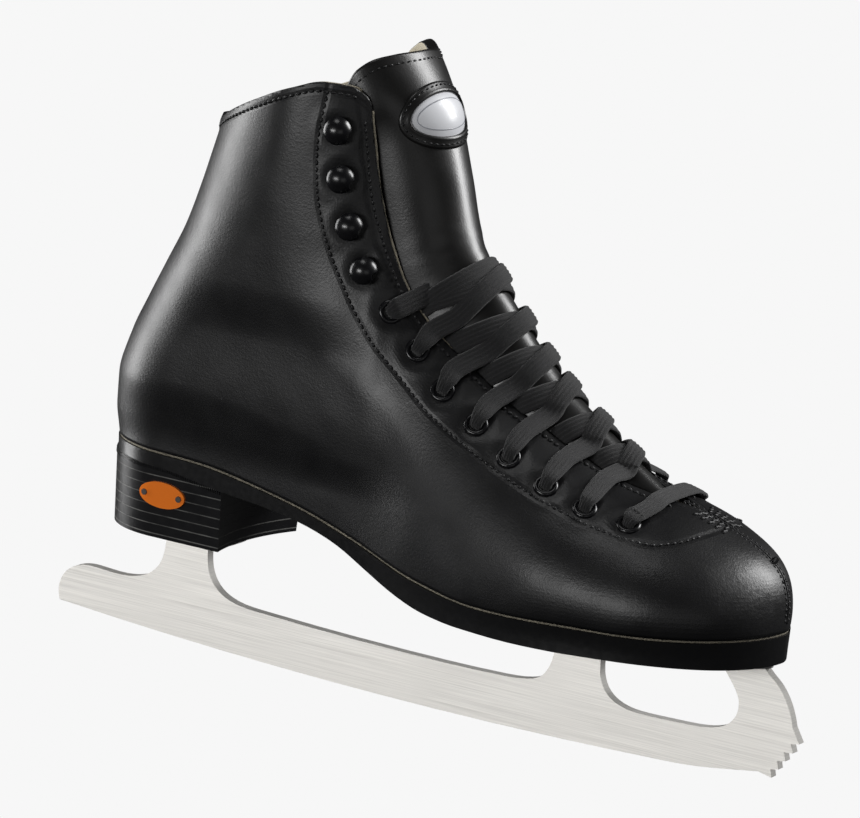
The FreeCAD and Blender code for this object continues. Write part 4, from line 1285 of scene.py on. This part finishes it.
def heel_outline(share):
    """Point and outward way round the heel, from the lateral breast corner to the medial one."""
    straight = HEEL_BREAST - HEEL_CENTRE
    half = HEEL_HALF_WIDTH
    curved = math.pi * (HEEL_LENGTH + half) / 2
    run = share * (2 * straight + curved)
    if run < straight:
        return Vector((HEEL_BREAST - run, -half, 0)), Vector((0, -1, 0))
    if run > straight + curved:
        return Vector((HEEL_CENTRE + run - straight - curved, half, 0)), Vector((0, 1, 0))
    a = math.pi * (run - straight) / curved
    place = Vector((HEEL_CENTRE - HEEL_LENGTH * math.sin(a), -half * math.cos(a), 0))
    return place, Vector((-math.sin(a) * half, -math.cos(a) * HEEL_LENGTH, 0)).normalized()


rib_parts = []
RIBS_ROUND = 190
RIB_HEIGHT = 1.5
RIB_SECTION = [(-0.2, -0.3), (0.2, -0.3), (0.14, 0.16), (-0.14, 0.16)]
for k in range(RIBS_ROUND):
    place, out = heel_outline((k + 0.5) / RIBS_ROUND)
    top = sole_bottom(place.x) - 0.5
    heights = (top - RIB_HEIGHT, top)
    line = [(Vector((place.x, place.y, z)) + out * 0.02, out) for z in heights]
    rib_parts.append(cord(line, RIB_SECTION))
new_mesh("heel_ribbing", *merge(rib_parts), "boot", "heel_layers_black", [heel_black], False)

# ---------- camera, light and background ----------
TARGET = Vector((-6.65, 0, 106.4)) * MM
CAMERA_DISTANCE = 2.0
AZIMUTH = math.radians(27.2)
ELEVATION = math.radians(12.4)
ROLL = math.radians(6.2)
back = Vector((math.sin(AZIMUTH) * math.cos(ELEVATION), -math.cos(AZIMUTH) * math.cos(ELEVATION),
               math.sin(ELEVATION)))
right = Vector((math.cos(AZIMUTH), math.sin(AZIMUTH), 0))
up = back.cross(right)
image_right = right * math.cos(ROLL) + up * math.sin(ROLL)
image_up = up * math.cos(ROLL) - right * math.sin(ROLL)
camera_data = bpy.data.cameras.new("camera")
camera_data.sensor_width = 36.0
camera_data.lens = 236.9
camera_data.clip_start = 0.1
camera_data.clip_end = 50
camera = bpy.data.objects.new("camera", camera_data)
bpy.context.scene.collection.objects.link(camera)
turned = Matrix((image_right, image_up, back)).transposed().to_4x4()
camera.matrix_world = Matrix.Translation(TARGET + back * CAMERA_DISTANCE) @ turned
bpy.context.scene.camera = camera


def softbox(name, place, look_at, width, height, power):
    """A soft rectangular lamp, sizes in metres and power in watts."""
    light = bpy.data.lights.new(name, "AREA")
    light.shape = "RECTANGLE"
    light.size = width
    light.size_y = height
    light.energy = power
    obj = bpy.data.objects.new(name, light)
    bpy.context.scene.collection.objects.link(obj)
    obj.location = Vector(place)
    obj.rotation_mode = "QUATERNION"
    obj.rotation_quaternion = (Vector(place) - Vector(look_at)).to_track_quat("Z", "Y")
    return obj


CENTRE = (0, 0, 0.11)
softbox("left_strip", (-1.9, -0.1, 0.30), CENTRE, 0.9, 1.5, 34)
right_light = softbox("right_box", (1.28, 1.16, 1.22), CENTRE, 0.8, 1.2, 52)
softbox("top_box", (-0.20, -0.45, 2.0), CENTRE, 0.8, 0.6, 4.5)
softbox("front_panel", (-0.27, -2.02, 0.36), CENTRE, 1.0, 0.35, 15.5)
softbox("side_fill", (1.45, -1.45, 0.25), CENTRE, 1.2, 0.8, 1.6)
tongue_light = softbox("tongue_panel", (1.60, 1.20, 0.48), (0, 0, 0.18), 0.6, 0.7, 26)
tongue_group = bpy.data.collections.new("tongue_pieces")
tongue_group.objects.link(tongue)
tongue_light.light_linking.receiver_collection = tongue_group
steel_light = softbox("steel_panel", (-0.9, -1.9, 0.25), CENTRE, 1.6, 0.8, 18.5)
steel_group = bpy.data.collections.new("steel_parts")
for node_name in ("blade", "toe_plate", "heel_plate"):
    steel_group.objects.link(frame["nodes"][node_name])
steel_light.light_linking.receiver_collection = steel_group
backdrop_light = softbox("steel_backdrop", (0.35, 2.2, 0.45), CENTRE, 3.2, 1.6, 20)
backdrop_light.light_linking.receiver_collection = steel_group
backdrop_light.visible_camera = False
other_group = bpy.data.collections.new("pieces_other_than_steel")
for piece in bpy.context.scene.objects:
    if piece.type == "MESH" and piece.name not in steel_group.objects:
        other_group.objects.link(piece)
right_light.light_linking.receiver_collection = other_group

WHITE = (0.930, 0.930, 0.930, 1)


def white_to_camera(nodes, links, kind, lit, output):
    """Plain white where the camera looks straight at it, the lit shader for all other light."""
    seen = add_node(nodes, kind)
    seen.inputs["Color"].default_value = WHITE
    path = add_node(nodes, "ShaderNodeLightPath")
    choose = add_node(nodes, "ShaderNodeMixShader")
    links.new(path.outputs["Is Camera Ray"], choose.inputs[0])
    links.new(lit.outputs[0], choose.inputs[1])
    links.new(seen.outputs[0], choose.inputs[2])
    links.new(choose.outputs[0], output.inputs["Surface"])


world = bpy.data.worlds.new("studio")
bpy.context.scene.world = world
world.use_nodes = True
world_nodes = world.node_tree.nodes
world_nodes.clear()
output = add_node(world_nodes, "ShaderNodeOutputWorld")
lit = add_node(world_nodes, "ShaderNodeBackground")
lit.inputs["Color"].default_value = (1, 1, 1, 1)
lit.inputs["Strength"].default_value = 0.04
white_to_camera(world_nodes, world.node_tree.links, "ShaderNodeBackground", lit, output)
bpy.context.scene.view_settings.view_transform = "Standard"

FLOOR_HALF = 6
FLOOR_LEVEL = -0.0005
FLOOR_CORNERS = ((-1, -1), (1, -1), (1, 1), (-1, 1))
floor_material, nodes, links, shader = new_material("floor_white")
shader.inputs["Base Color"].default_value = (0.10, 0.10, 0.10, 1)
shader.inputs["Roughness"].default_value = 0.9
white_to_camera(nodes, links, "ShaderNodeEmission", shader, nodes["Material Output"])
floor_mesh = bpy.data.meshes.new("floor")
floor_points = [(a * FLOOR_HALF, b * FLOOR_HALF, FLOOR_LEVEL) for a, b in FLOOR_CORNERS]
floor_mesh.from_pydata(floor_points, [], [(0, 1, 2, 3)])
floor_mesh.materials.append(floor_material)
floor = bpy.data.objects.new("floor", floor_mesh)
bpy.context.scene.collection.objects.link(floor)
floor.visible_glossy = False
floor.visible_shadow = False
